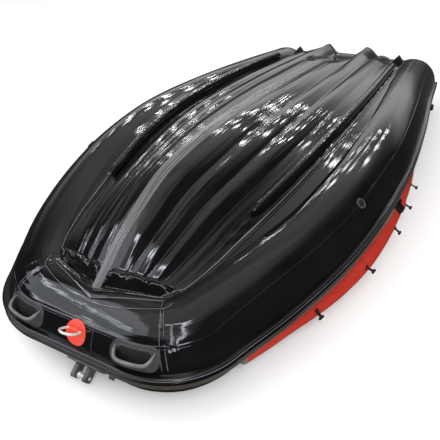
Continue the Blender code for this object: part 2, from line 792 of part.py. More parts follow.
def tow_fittings():
    """Oval tow patch, the webbing fold on it and the ring that swings in the fold."""
    at, ray = bow_point(0.0, FRONT_ANGLE, TUBE_R)
    oval = basis(at, ACROSS, ray) @ Matrix.Diagonal((PATCH_W, PATCH_H, 1.0, 1.0))
    patch = cylinder("tow_patch", 0.5, BLANK_T, oval, RED_PVC)
    wrap_on_bow(patch, TUBE_R + GAP + PATCH_T)
    angle = FRONT_ANGLE + WEBBING_UP / TUBE_R
    at, ray = bow_point(0.0, angle, TUBE_R + 2 * GAP + PATCH_T + WEBBING_T / 2)
    frame = basis(at, ACROSS, ray)
    fold = box("tow_webbing", (WEBBING_W, WEBBING_H, WEBBING_T), frame, RED_PVC)
    bore = RING_ROD + RING_CLEARANCE
    boolean(fold, cylinder("webbing bore", bore, BORE_LENGTH, frame @ TURN_TO_X, None, True, 12))
    half = [(RING_WAIST, 0.0), (RING_HALF, RING_KNEE), (RING_HALF, RING_SHOULDER)]
    for turn in (30, 60, 90):
        a = math.radians(turn)
        half.append((RING_HALF * math.cos(a), RING_SHOULDER + (RING_REACH - RING_SHOULDER) * math.sin(a)))
    right = [Vector((x, 0.0, out)) for x, out in half]
    loop = [frame @ p for p in right + mirrored(right[-2::-1])]
    ring = tube("tow_ring", loop, [RING_ROD] * len(loop), 2, STEEL, False, True)
    turn_about(ring, at)


def anchor_fittings():
    """Bracket low on the bow with two cheeks and a pin, and the roller on the pin."""
    at, ray = bow_point(0.0, ROLLER_ANGLE, TUBE_R)
    frame = basis(at, ACROSS, ray)
    size = (BRACKET_W, BRACKET_H, BLANK_T)
    bracket = box("anchor_bracket", size, frame, RUBBER, False, BRACKET_CORNER)
    wrap_on_bow(bracket, TUBE_R + BRACKET_T)
    inner = BRACKET_T / 2
    for label, x in (("starboard", CHEEK_X), ("port", -CHEEK_X)):
        middle = frame @ shift(x, 0, (inner + CHEEK_OUT) / 2) @ TURN_TO_X
        size = (CHEEK_OUT - inner, CHEEK_H, CHEEK_T)
        boolean(bracket, box(label + " cheek", size, middle, None, True, CHEEK_CORNER), "UNION")
    pin_at = frame @ shift(0, 0, CHEEK_OUT - PIN_INSET) @ TURN_TO_X
    boolean(bracket, cylinder("roller pin", PIN_R, 2 * CHEEK_X, pin_at, None, True, 12), "UNION")
    roller = cylinder("anchor_roller", ROLLER_R, ROLLER_W, pin_at, STEEL, False, 20)
    bore = PIN_R + PIN_CLEARANCE
    boolean(roller, cylinder("roller bore", bore, BORE_LENGTH, pin_at, None, True, 12))
    turn_about(roller, pin_at.translation)


def side_fittings(cutter):
    """Air valves on the side tubes and lift loops on the rub strakes, alike on both sides."""
    seat = TUBE_R + STRAKE_OUT + 3 * GAP
    for label, side in (("starboard", 1), ("port", -1)):
        at, ray, along = side_point(VALVE_Y, VALVE_ANGLE, TUBE_R + VALVE_H / 2 - VALVE_SINK, side)
        boolean(cylinder(label + "_air_valve", VALVE_R, VALVE_H, basis(at, along, ray), PLASTIC), cutter)
        at, ray, along = side_point(LIFT_LOOP_Y, LIFT_LOOP_ANGLE, seat + LIFT_LOOP_OUT / 2, side)
        size = (LIFT_LOOP_LENGTH, LIFT_LOOP_OUT, LIFT_LOOP_WIDTH)
        frame = basis(at, along, ray.cross(along))
        box(label + "_lift_loop", size, frame, RUBBER, False, LIFT_LOOP_CORNER)


def rowlocks(cutter, beds):
    """Rowlocks on the bolsters: a rubber socket, a barrel that turns in it and its red cap."""
    for label, side, bed in beds:
        at, ray, along = bolster_point(ROWLOCK_Y, ROWLOCK_ANGLE, 0.0, side)
        frame = basis(at, along, ray)
        size = (ROWLOCK_LENGTH, ROWLOCK_WIDTH, BLANK_T)
        centre = frame @ shift(0, 0, ROWLOCK_T - BLANK_T / 2)
        socket = box(label + "_rowlock_socket", size, centre, RUBBER, False, ROWLOCK_CORNER)
        boolean(socket, bed)
        boolean(socket, cutter)
        barrel_at = frame @ shift(0, 0, ROWLOCK_T + GAP + BARREL_H / 2)
        barrel = cylinder(label + "_rowlock_barrel", BARREL_R, BARREL_H, barrel_at, PLASTIC, False, 20)
        turn_about(barrel, barrel_at.translation)
        cap_at = barrel_at @ shift(0, 0, BARREL_H / 2 + GAP + CAP_T / 2)
        cap = cylinder(label + "_rowlock_cap", CAP_R, CAP_T, cap_at, RED_PLASTIC, False, 20)
        turn_about(cap, cap_at.translation)


def toggles(beds):
    """Cover toggles along each bolster: a foot, a short strap and a cross bar."""
    size = (TOGGLE_STRAP_W, TOGGLE_STRAP_T, TOGGLE_LENGTH)
    for label, side, bed in beds:
        for number, (y, root_angle, lean_angle) in enumerate(TOGGLES, 1):
            at, root, along = bolster_point(y, math.radians(root_angle), 0.0, side)
            lean = side_point(y, math.radians(lean_angle), 1.0, side)[1]
            frame = basis(at, along, lean)
            name = "%s_toggle_%d" % (label, number)
            strap = box(name, size, frame @ shift(0, 0, TOGGLE_LENGTH / 2), RUBBER)
            bar_at = frame @ shift(0, 0, TOGGLE_LENGTH) @ TURN_TO_X
            bar = cylinder(name + " bar", TOGGLE_BAR_R, TOGGLE_BAR_LENGTH, bar_at, None, True, 10)
            boolean(strap, bar, "UNION")
            foot_at = basis(at, along, root)
            foot = cylinder(name + " foot", TOGGLE_FOOT_R, TOGGLE_FOOT_T, foot_at, None, True, 12)
            boolean(strap, foot, "UNION")
            boolean(strap, bed)


def build():
    main_tubes()
    cutter = tube_cutter()
    hull_bottom(cutter)
    keel_strip()
    rub_strakes()
    chine_tubes()
    beds = bolsters(cutter)
    transom(cutter)
    transom_fittings(cutter)
    bow_handles()
    tow_fittings()
    anchor_fittings()
    side_fittings(cutter)
    rowlocks(cutter, beds)
    toggles(beds)


clear_scene()
BOAT, CUTTERS, STANCE = set_up()
build()
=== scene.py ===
import math
from bisect import bisect

import bmesh
import bpy
from mathutils import Matrix, Vector, noise


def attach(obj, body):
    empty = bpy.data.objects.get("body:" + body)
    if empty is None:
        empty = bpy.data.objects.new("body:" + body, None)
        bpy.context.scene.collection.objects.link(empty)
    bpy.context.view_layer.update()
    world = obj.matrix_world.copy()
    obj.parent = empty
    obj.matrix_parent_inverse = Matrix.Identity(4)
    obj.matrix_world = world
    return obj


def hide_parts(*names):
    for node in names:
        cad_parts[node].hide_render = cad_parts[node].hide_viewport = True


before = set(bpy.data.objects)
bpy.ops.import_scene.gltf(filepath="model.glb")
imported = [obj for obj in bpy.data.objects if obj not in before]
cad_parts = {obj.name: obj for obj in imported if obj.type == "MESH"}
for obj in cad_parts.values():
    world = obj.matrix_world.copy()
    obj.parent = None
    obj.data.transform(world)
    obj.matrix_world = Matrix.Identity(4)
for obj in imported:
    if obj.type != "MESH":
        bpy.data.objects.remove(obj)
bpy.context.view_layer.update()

# Air tube
# The boat's main tube is a U of black coated cloth, welded in three chambers that meet at a mitre in
# each bow corner, with a dome at each stern end. Air keeps it round, and the cloth puckers at its seams.
TUBE_R = 0.215
BOW_AXIS_Y = 0.215
BOW_AXIS_Z = 0.296
CORNER_R = 0.217
CORNER_TURN = math.radians(63.0)
CORNER_X = 0.252
CORNER_Z = 0.330
END_AXIS_Y = 3.945
MIDDLE_Y = 2.0844
# Axis of the side tubes, columns: y aft, x off the centreline, z
SIDE_AXIS = (
    (0.62, 0.585, 0.397),
    (1.00, 0.708, 0.467),
    (1.40, 0.773, 0.537),
    (1.90, 0.796, 0.588),
    (2.60, 0.756, 0.599),
    (3.30, 0.689, 0.584),
    (END_AXIS_Y, 0.641, 0.551),
)
BOW_STEPS = 40
CORNER_STEPS = 64
SIDE_STEPS = 210
TUBE_ROUND = 160
DOME_STEPS = 24
# Relief of the cloth: ripples everywhere, puckers and crinkles beside the mitre, creases over the bow
RIPPLE = 0.0008
PUCKER = 0.0030
PUCKER_DIP = 0.6
PUCKER_REACH = 0.060
CRINKLE = 0.0016
BOW_CREASE = 0.0008
CREASE_FADE = 0.2
SHARP_ANGLE = math.radians(50.0)
SIDES = (("starboard", 1), ("port", -1))


def smooth(table, key, column):
    """Value of a column at a key, on a cubic through the table's rows."""
    first, last = table[0], table[-1]
    if key <= first[0]:
        slope = (table[1][column] - first[column]) / (table[1][0] - first[0])
        return first[column] + slope * (key - first[0])
    if key >= last[0]:
        slope = (last[column] - table[-2][column]) / (last[0] - table[-2][0])
        return last[column] + slope * (key - last[0])
    index = max(i for i in range(len(table) - 1) if table[i][0] <= key)

    def slope_at(i):
        before = table[max(i - 1, 0)]
        after = table[min(i + 1, len(table) - 1)]
        return (after[column] - before[column]) / (after[0] - before[0])

    start, end = table[index], table[index + 1]
    span = end[0] - start[0]
    t = (key - start[0]) / span
    return (
        (2 * t**3 - 3 * t**2 + 1) * start[column]
        + (t**3 - 2 * t**2 + t) * span * slope_at(index)
        + (3 * t**2 - 2 * t**3) * end[column]
        + (t**3 - t**2) * span * slope_at(index + 1)
    )


def ease(value, low, high):
    """Soft step from 0 at low to 1 at high."""
    t = max(min((value - low) / (high - low), 1.0), 0.0)
    return t * t * (3 - 2 * t)


def bell(value, middle, reach):
    """Soft bump of height 1 round a middle."""
    return math.exp(-(((value - middle) / reach) ** 2))


def spread(first, last, steps):
    """Numbers from first to last in so many even steps."""
    return [first + (last - first) * i / steps for i in range(steps + 1)]


def round_turns(steps):
    """Angles of so many even steps round a circle."""
    return [2 * math.pi * i / steps for i in range(steps)]


CORNER_END_X = CORNER_X + CORNER_R * math.sin(CORNER_TURN)
CORNER_END_Y = BOW_AXIS_Y + CORNER_R * (1 - math.cos(CORNER_TURN))
AXIS = ((CORNER_END_Y, CORNER_END_X, CORNER_Z),) + SIDE_AXIS
HEIGHT = ((BOW_AXIS_Y, 0, BOW_AXIS_Z),) + SIDE_AXIS


def tube_axis():
    """Points of the tube's axis from the bow's centre to the starboard dome."""
    points = [Vector((x, BOW_AXIS_Y, BOW_AXIS_Z)) for x in spread(0.0, CORNER_X, BOW_STEPS)]
    for turn in spread(0.0, CORNER_TURN, CORNER_STEPS)[1:]:
        y = BOW_AXIS_Y + CORNER_R * (1 - math.cos(turn))
        points.append(Vector((CORNER_X + CORNER_R * math.sin(turn), y, smooth(HEIGHT, y, 2))))
    for y in spread(CORNER_END_Y, END_AXIS_Y, SIDE_STEPS)[1:]:
        points.append(Vector((smooth(AXIS, y, 1), y, smooth(HEIGHT, y, 2))))
    return points


def stations(points):
    """Distance along, place, and directions along, outboard and up at each point of a path."""
    rows = []
    gone = 0.0
    for i, point in enumerate(points):
        before = points[max(i - 1, 0)]
        after = points[min(i + 1, len(points) - 1)]
        along = (after - before).normalized()
        out = Vector((along.y, -along.x, 0.0)).normalized()
        if i:
            gone += (point - points[i - 1]).length
        rows.append((gone, point, along, out, out.cross(along)))
    return rows


TUBE = stations(tube_axis())
DISTANCES = [row[0] for row in TUBE]
TUBE_LENGTH = DISTANCES[-1]
MITRE = DISTANCES[BOW_STEPS + CORNER_STEPS // 2]
TILT = math.atan2(
    (TUBE[-1][1] - TUBE[-1][4] * TUBE_R).z - (BOW_AXIS_Z - TUBE_R),
    (TUBE[-1][1] - TUBE[-1][4] * TUBE_R).y - BOW_AXIS_Y,
)
LIFT = BOW_AXIS_Y * math.sin(TILT) - (BOW_AXIS_Z - TUBE_R) * math.cos(TILT)
STANCE = Matrix.Translation((0.0, -MIDDLE_Y, LIFT)) @ Matrix.Rotation(-TILT, 4, "X")


def station_at(distance):
    """Place and directions of the tube's axis at a distance along it. Port is negative."""
    far = abs(distance)
    index = min(max(bisect(DISTANCES, far) - 1, 0), len(TUBE) - 2)
    a, b = TUBE[index], TUBE[index + 1]
    t = (far - a[0]) / (b[0] - a[0])
    place, along, out, up = (a[k].lerp(b[k], t) for k in (1, 2, 3, 4))
    if distance < 0:
        for v in (place, along, out, up):
            v.x = -v.x
        along = -along
    return place, along.normalized(), out.normalized(), up.normalized()


def tube_at(distance, angle, above):
    """Point on the tube's cloth at a distance along, an angle up from outboard and a height above it."""
    place, _, out, up = station_at(distance)
    ray = out * math.cos(angle) + up * math.sin(angle)
    return place + ray * (TUBE_R + above), ray


def distance_of(y):
    """Distance along the starboard side tube at which its axis is at a place aft."""
    ys = [row[1].y for row in TUBE[BOW_STEPS:]]
    index = min(max(bisect(ys, y) - 1, 0), len(ys) - 2)
    t = (y - ys[index]) / (ys[index + 1] - ys[index])
    a, b = TUBE[BOW_STEPS + index][0], TUBE[BOW_STEPS + index + 1][0]
    return a + (b - a) * t


def cloth_relief(distance, angle):
    """Height of the tube cloth's ripples, of the puckers beside its mitre and of the creases over the bow."""
    far = abs(distance)
    side = 3.0 if distance < 0 else 0.0
    ripple = noise.noise(Vector((far * 1.6, angle * 3.4, side)))
    ripple += 0.5 * noise.noise(Vector((far * 3.1, angle * 9.0, side + 5.0)))
    near = bell(far, MITRE, PUCKER_REACH)
    pucker = near * noise.noise(Vector((far * 9.0, angle * 7.0, side + 9.0)))
    crinkle = near * noise.noise(Vector((far * 46.0, angle * 4.5, side + 13.0)))
    fore = 1 - ease(far, MITRE, MITRE + CREASE_FADE)
    creases = fore * noise.noise(Vector((far * 9.0, angle * 17.0, side + 17.0)))
    relief = RIPPLE * ripple + PUCKER * (pucker - PUCKER_DIP * near)
    return relief + CRINKLE * crinkle + BOW_CREASE * creases


def place_piece(name, mesh, finish, body="boat", replaced=()):
    """Tip a piece from the level boat to its resting place, finish it, and let it ride on its body."""
    shape = bmesh.new()
    shape.from_mesh(mesh)
    bmesh.ops.recalc_face_normals(shape, faces=shape.faces)
    shape.to_mesh(mesh)
    shape.free()
    mesh.transform(STANCE)
    mesh.shade_smooth()
    mesh.set_sharp_from_angle(angle=SHARP_ANGLE)
    for material in finish if isinstance(finish, (list, tuple)) else [finish]:
        mesh.materials.append(material)
    piece = bpy.data.objects.new(name, mesh)
    bpy.context.scene.collection.objects.link(piece)
    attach(piece, body)
    if replaced:
        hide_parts(*replaced)
    return piece


def sheet_mesh(name, rows, lays, around=False, capped=False, closed=False):
    """Mesh through rows of points. Each point keeps its place along and round, for the finish to follow."""
    count = len(rows[0])
    last = len(rows)
    faces = []
    for r in range(last if closed else last - 1):
        s = (r + 1) % last
        for c in range(count if around else count - 1):
            d = (c + 1) % count
            faces.append((r * count + c, r * count + d, s * count + d, s * count + c))
    if capped:
        faces.append(tuple(range(count))[::-1])
        faces.append(tuple(range((last - 1) * count, last * count)))
    mesh = bpy.data.meshes.new(name)
    mesh.from_pydata([p for row in rows for p in row], [], faces)
    lay = mesh.attributes.new("lay", "FLOAT_VECTOR", "POINT")
    lay.data.foreach_set("vector", [value for row in lays for place in row for value in place])
    return mesh


def add_node(material, kind, inputs, **settings):
    """New shader node, with its settings and with its inputs set or linked."""
    made = material.node_tree.nodes.new("ShaderNode" + kind)
    for key, value in settings.items():
        setattr(made, key, value)
    for key, value in inputs.items():
        if isinstance(value, bpy.types.NodeSocket):
            material.node_tree.links.new(value, made.inputs[key])
        else:
            made.inputs[key].default_value = value
    return made


def noise_at(material, place, stretch, detail=4.0):
    """Noise over a finish, with so many features to the metre each way."""
    mapped = add_node(material, "Mapping", {"Vector": place, "Scale": stretch})
    return add_node(
        material, "TexNoise", {"Vector": mapped.outputs["Vector"], "Scale": 1.0, "Detail": detail}
    ).outputs["Fac"]


def between(material, value, low, high):
    """Noise spread over a range of numbers."""
    inputs = {"Value": value, "From Min": 0.3, "From Max": 0.7, "To Min": low, "To Max": high}
    return add_node(material, "MapRange", inputs).outputs["Result"]


def blended(material, value, first, second):
    """Colour between two, by a value."""
    ramp = add_node(material, "ValToRGB", {"Fac": value})
    ramp.color_ramp.elements[0].position = 0.3
    ramp.color_ramp.elements[0].color = (*first, 1.0)
    ramp.color_ramp.elements[1].position = 0.7
    ramp.color_ramp.elements[1].color = (*second, 1.0)
    return ramp.outputs["Color"]


def new_finish(name):
    """Empty finish with its shader."""
    material = bpy.data.materials.new(name)
    material.use_nodes = True
    return material, material.node_tree.nodes["Principled BSDF"]


def bump(material, height, strength, distance, under=None):
    """Normal of a relief, laid over another normal where one is given."""
    inputs = {"Height": height, "Strength": strength, "Distance": distance}
    if under is not None:
        inputs["Normal"] = under
    return add_node(material, "Bump", inputs).outputs["Normal"]


def filled(material, shader, colour, roughness, normal=None):
    """The finish with its colour, its roughness and its relief linked to its shader."""
    link = material.node_tree.links.new
    link(colour, shader.inputs["Base Color"])
    link(roughness, shader.inputs["Roughness"])
    if normal is not None:
        link(normal, shader.inputs["Normal"])
    return material


def coated_cloth(name, dark, light, gloss, drawn=0.0006):
    """Welded PVC cloth: long smears, a faint weave under the coat and fine lines drawn lengthwise."""
    material, shader = new_finish(name)
    place = add_node(material, "Attribute", {}, attribute_name="lay").outputs["Vector"]
    colour = blended(material, noise_at(material, place, (3.0, 7.0, 7.0)), dark, light)
    smears = between(material, noise_at(material, place, (1.3, 42.0, 42.0), 5.0), *gloss)
    inputs = {"Vector": place, "Scale": 420.0, "Distortion": 0.4, "Detail": 1.0}
    weave = add_node(material, "TexWave", inputs, bands_direction="DIAGONAL").outputs["Fac"]
    lines = bump(material, noise_at(material, place, (0.9, 58.0, 58.0), 3.0), 1.0, drawn)
    return filled(material, shader, colour, smears, bump(material, weave, 0.02, 0.0002, lines))


black_cloth = coated_cloth(
    "black_cloth", (0.0028, 0.0028, 0.0033), (0.0058, 0.0058, 0.0068), (0.04, 0.13), 0.0009
)


def tube_row(distance):
    """Ring of points round the tube's cloth at a distance along it."""
    turns = round_turns(TUBE_ROUND)
    row = [tube_at(distance, angle, cloth_relief(distance, angle))[0] for angle in turns]
    return row, [(distance, angle * TUBE_R, 0.0) for angle in turns]


def both_ways(distances):
    """Distances to port, through the bow's centre, to starboard."""
    return [-d for d in distances[:0:-1]] + distances


bow_rows = [tube_row(d) for d in both_ways([d for d in DISTANCES if d <= MITRE])]
bow_mesh = sheet_mesh("bow_tube_cloth", *zip(*bow_rows), around=True, capped=True)
place_piece("bow_tube_cloth", bow_mesh, black_cloth, replaced=("bow_tube",))

for label, side in SIDES:
    side_rows = [tube_row(side * d) for d in DISTANCES if d >= MITRE]
    place, along, out, up = station_at(side * TUBE_LENGTH)
    along *= side
    for step in range(1, DOME_STEPS):
        turn = math.pi / 2 * step / DOME_STEPS
        ring, lay = [], []
        for angle in round_turns(TUBE_ROUND):
            ray = out * math.cos(angle) + up * math.sin(angle)
            relief = cloth_relief(side * TUBE_LENGTH, angle) * math.cos(turn)
            ring.append(place + along * TUBE_R * math.sin(turn) + ray * (TUBE_R * math.cos(turn) + relief))
            lay.append((side * (TUBE_LENGTH + TUBE_R * turn), angle * TUBE_R, 0.0))
        side_rows.append((ring, lay))
    name = label + "_tube_cloth"
    side_mesh = sheet_mesh(name, *zip(*side_rows), around=True, capped=True)
    place_piece(name, side_mesh, black_cloth, replaced=(label + "_tube",))

# Tube seam tapes
# Strips of the same coated cloth, welded over the tube's joints: one at each mitre, one lengthwise just
# above the handles, a reinforcing wrap at the bow's centre and a ring where each stern dome starts.
TAPE_T = 0.0011
MITRE_TAPE_W = 0.044
LONG_SEAM_W = 0.014
BOW_SEAM_ANGLE = math.radians(38.3)
SIDE_SEAM_ANGLE = math.radians(47.4)
CENTRE_WRAP_HALF = 0.090
CENTRE_WRAP_ANGLES = (math.radians(8.0), math.radians(36.0))
LABEL_PATCH_HALF = 0.070
LABEL_PATCH_ANGLES = (math.radians(42.5), math.radians(58.0))
WRAP_WELD_INSET = 0.012
WRAP_STEPS = 16
PATCH_COLUMNS = 24
PATCH_ROWS = 12
PATCH_TUCK = 0.001
DOME_TAPE_W = 0.030
DOME_TAPE_BACK = 0.002
CLOTH_SEAT = 0.0004
# Section of a tape, columns: share of its width, share of its thickness
TAPE_PROFILE = ((0.0, 0.0), (0.0, 0.6), (0.03, 1.0), (0.5, 1.0), (0.97, 1.0), (1.0, 0.6), (1.0, 0.0))


def tape(name, edges, finish, thickness=TAPE_T, closed=False):
    """Strip between two edges on the cloth. Each edge point is a place and its outward direction."""
    rows, lays = [], []
    gone = 0.0
    for i, (left, right) in enumerate(edges):
        if i:
            gone += (left[0] - edges[i - 1][0][0]).length
        width = (right[0] - left[0]).length
        row, lay = [], []
        for share, rise in TAPE_PROFILE:
            point = left[0].lerp(right[0], share)
            row.append(point + left[1].lerp(right[1], share).normalized() * (thickness * rise))
            lay.append((gone, width * share, 0.0))
        rows.append(row)
        lays.append(lay)
    mesh = sheet_mesh(name, rows, lays, around=True, capped=not closed, closed=closed)
    return place_piece(name, mesh, finish)


def on_cloth(distance, angle):
    """Point on the rippled tube cloth, a hair under it so that a tape sits down on it."""
    return tube_at(distance, angle, cloth_relief(distance, angle) - CLOTH_SEAT)


def ring_edges(distance, width):
    """Edges of a tape that goes right round the tube."""
    fore, aft = distance - width / 2, distance + width / 2
    return [(on_cloth(fore, a), on_cloth(aft, a)) for a in round_turns(TUBE_ROUND)]


def rod_mesh(name, path, radius, sides=8, closed=False):
    """Round rod along points, with one radius or a radius for each point."""
    rows, lays = [], []
    count = len(path)
    turns = round_turns(sides)
    side, gone = None, 0.0
    for i, point in enumerate(path):
        before = path[i - 1] if closed else path[max(i - 1, 0)]
        after = path[(i + 1) % count] if closed else path[min(i + 1, count - 1)]
        along = (after - before).normalized()
        side = along.orthogonal() if side is None else side
        side = (side - along * side.dot(along)).normalized()
        other = along.cross(side)
        gone += (point - path[max(i - 1, 0)]).length
        thick = radius[i] if isinstance(radius, list) else radius
        rows.append([point + (side * math.cos(t) + other * math.sin(t)) * thick for t in turns])
        lays.append([(gone, t * thick, 0.0) for t in turns])
    return sheet_mesh(name, rows, lays, around=True, capped=not closed, closed=closed)


def joined(name, meshes):
    """One mesh from several."""
    shape = bmesh.new()
    for mesh in meshes:
        shape.from_mesh(mesh)
        bpy.data.meshes.remove(mesh)
    merged = bpy.data.meshes.new(name)
    shape.to_mesh(merged)
    shape.free()
    return merged


WELD_R = 0.0013
SEAM_WELD_R = 0.0010
FINE_WELD_R = 0.0009
WELD_SIDES = 6
# Angles up from outboard between which the mitre's welds show
MITRE_WELD_TURNS = (math.radians(12.0), math.radians(110.0))
MITRE_WELD_STEPS = 49
# Pale grey finish of the weld beads: painted glints along the tape edges.
weld_glint_grey = coated_cloth("weld_glint_grey", (0.070, 0.070, 0.075), (0.260, 0.260, 0.275), (0.10, 0.26))
# Dim grey: painted faint glints on the lobe welds, and painted shade in the keel strip's rib grooves.
weld_glint_and_groove_shade = coated_cloth("weld_glint_and_groove_shade", (0.008, 0.008, 0.009), (0.050, 0.050, 0.054), (0.08, 0.20))


def weld_beads(name, lines, radius=WELD_R, finish=weld_glint_grey):
    """Fine beads of PVC squeezed out along the edges of welded tapes, finished pale grey by default as
    painted glints.
    """
    meshes = [rod_mesh(name, line, radius, WELD_SIDES) for line in lines]
    place_piece(name, joined(name, meshes), finish)


for label, side in SIDES:
    tape(label + "_mitre_tape", ring_edges(side * MITRE, MITRE_TAPE_W), black_cloth, closed=True)
    mitre_lines = []
    for edge in (-MITRE_TAPE_W / 2, -MITRE_TAPE_W / 5):
        turns = spread(*MITRE_WELD_TURNS, MITRE_WELD_STEPS)
        mitre_lines.append([on_cloth(side * (MITRE + edge), a)[0] for a in turns])
    weld_beads(label + "_mitre_weld", mitre_lines)
    dome_at = side * (TUBE_LENGTH - DOME_TAPE_W / 2 - DOME_TAPE_BACK)
    tape(label + "_dome_tape", ring_edges(dome_at, DOME_TAPE_W), black_cloth, closed=True)


def seam_angle(distance):
    """Angle of the lengthwise seam: it climbs a little round each bow corner."""
    climbed = ease(abs(distance), MITRE * 0.95, MITRE + 0.5)
    return BOW_SEAM_ANGLE + (SIDE_SEAM_ANGLE - BOW_SEAM_ANGLE) * climbed


half_seam = LONG_SEAM_W / 2 / TUBE_R
seam_edges = []
for d in both_ways(DISTANCES):
    seam_edges.append((on_cloth(d, seam_angle(d) - half_seam), on_cloth(d, seam_angle(d) + half_seam)))
tape("lengthwise_seam", seam_edges, black_cloth)
# The beads show along the bow and three quarters of the way round each corner
middle_edge = len(seam_edges) // 2
bow_edges = BOW_STEPS + CORNER_STEPS * 3 // 4
shown_edges = seam_edges[middle_edge - bow_edges:middle_edge + bow_edges]
weld_beads("lengthwise_weld", [[edge[k][0] for edge in shown_edges] for k in (0, 1)], SEAM_WELD_R)


def tube_patch(name, half, angles):
    """Rectangular patch of cloth welded on the bow tube, its rim tucked under the tube's cloth."""
    rows, lays = [], []
    for r in range(-1, PATCH_ROWS + 2):
        v = min(max(r / PATCH_ROWS, 0.0), 1.0)
        row, lay = [], []
        for c in range(-1, PATCH_COLUMNS + 2):
            u = min(max(c / PATCH_COLUMNS, 0.0), 1.0)
            inside = 0 <= r <= PATCH_ROWS and 0 <= c <= PATCH_COLUMNS
            x = half * (2 * u - 1)
            angle = angles[0] + (angles[1] - angles[0]) * v
            above = TAPE_T if inside else -PATCH_TUCK
            row.append(tube_at(x, angle, cloth_relief(x, angle) + above)[0])
            lay.append((x, angle * TUBE_R, 0.0))
        rows.append(row)
        lays.append(lay)
    place_piece(name, sheet_mesh(name, rows, lays), black_cloth)


tube_patch("centre_wrap", CENTRE_WRAP_HALF, CENTRE_WRAP_ANGLES)
tube_patch("bare_label_patch", LABEL_PATCH_HALF, LABEL_PATCH_ANGLES)
wrap_lines = []
for x in (-CENTRE_WRAP_HALF, WRAP_WELD_INSET - CENTRE_WRAP_HALF, CENTRE_WRAP_HALF - WRAP_WELD_INSET,
          CENTRE_WRAP_HALF):
    wrap_lines.append([on_cloth(x, a)[0] for a in spread(*CENTRE_WRAP_ANGLES, WRAP_STEPS)])
weld_beads("centre_wrap_weld", wrap_lines, FINE_WELD_R)

# Inflated bottom
# One inflated body of black coated cloth: a V with lengthwise lobes held by hidden webs, a stern tunnel and
# a flat floor on its deck side. Its edges are welded flat to the tube, so the cloth gathers in pleats there.
# Sections, columns: y at the keel, keel z, flange off the tube axis, aft skew of the flange
BOTTOM = (
    (0.172, 0.522, 0.090, 0.100),
    (0.260, 0.585, 0.095, 0.080),
    (0.350, 0.654, 0.100, 0.060),
    (0.470, 0.727, 0.120, 0.040),
    (0.740, 0.854, 0.165, 0.000),
    (1.050, 0.905, 0.195, 0.000),
    (1.420, 0.928, 0.198, 0.000),
    (2.000, 0.924, 0.185, 0.000),
    (2.600, 0.905, 0.150, 0.000),
    (3.050, 0.884, 0.122, 0.000),
    (3.500, 0.858, 0.100, 0.000),
    (3.930, 0.832, 0.085, 0.000),
)
BOTTOM_START = BOTTOM[0][0]
BOTTOM_END = BOTTOM[-1][0]
BOW_EDGE_HALF = 0.300
FLANGE_RISE = 0.196
COCKPIT_RISE = 0.030
COCKPIT_INBOARD = 0.045
LANDING_DROP = 0.024
# Shares of the way from the keel to the flange at which the lobes meet
LOBE_EDGES = (0.068, 0.325, 0.535, 0.745)
LOBE_HEIGHT = 0.016
LOBE_FADE = 0.25
TUNNEL_START = 3.02
TUNNEL_FLOOR_SHARE = 0.190
TUNNEL_EDGE_SHARE = LOBE_EDGES[1]
TUNNEL_FLOOR_Z = 0.755
RIDGE_LIFT = 0.030
RIDGE_SPREAD = 0.20
STERN_DROP = 0.030
STERN_DROP_START = 3.58
TRANSOM_RAKE = math.tan(math.radians(7.0))
RAKE_START = 3.72
BOTTOM_STEPS = 360
BOTTOM_ACROSS = 96
LANDING_STEPS = 4
# Fold behind the bow weld, the hollow in front of it and its pleats: heights, places aft of the weld, reaches
FOLD = 0.021
FOLD_PLUMP = (0.6, 1.1)
FOLD_AT = 0.062
FOLD_WANDER = 0.022
FOLD_REACH = 0.021
HOLLOW = 0.016
HOLLOW_AT = 0.026
HOLLOW_REACH = 0.016
PLEAT = 0.0050
PLEAT_CREST = 0.35
PLEAT_REACH = 0.028
STREAK = 0.0019
EDGE_GATHER = 0.0040
EDGE_GATHER_AT = 0.955
EDGE_GATHER_REACH = 0.05


def flange_at(y):
    """Place of the weld flange between the bottom and the starboard tube, for a place on the keel."""
    aft = y + smooth(BOTTOM, y, 3)
    inboard = smooth(BOTTOM, y, 2)
    if aft < CORNER_END_Y:
        part = max(min((y - BOTTOM_START) / (CORNER_END_Y - BOTTOM_START), 1.0), 0.0)
        x = BOW_EDGE_HALF + (CORNER_END_X - inboard - BOW_EDGE_HALF) * part
    else:
        x = smooth(AXIS, aft, 1) - inboard
    return Vector((x, aft, smooth(HEIGHT, aft, 2) + FLANGE_RISE))


def bottom_point(y, share):
    """Point on the bottom's outer face, for a place on the keel and a share of the way to the flange."""
    keel_z = smooth(BOTTOM, y, 1)
    flange = flange_at(y)
    z = keel_z + (flange.z - keel_z) * share
    for low, high in zip(LOBE_EDGES, LOBE_EDGES[1:]):
        if low < share < high:
            fade = min(max((y - BOTTOM_START) / LOBE_FADE, 0.0), 1.0)
            z += LOBE_HEIGHT * fade * math.sin(math.pi * (share - low) / (high - low))
    depth = ease(y, TUNNEL_START, BOTTOM_END)
    z += RIDGE_LIFT * depth * max(0.0, 1 - abs(share - TUNNEL_EDGE_SHARE) / RIDGE_SPREAD)
    z -= STERN_DROP * ease(y, STERN_DROP_START, BOTTOM_END) * ease(share, LOBE_EDGES[1], LOBE_EDGES[2])
    if share < TUNNEL_EDGE_SHARE:
        wall = (TUNNEL_EDGE_SHARE - share) / (TUNNEL_EDGE_SHARE - TUNNEL_FLOOR_SHARE)
        z += (TUNNEL_FLOOR_Z - z) * min(wall, 1.0) * depth
    return Vector((flange.x * share, y + (flange.y - y) * share, z))


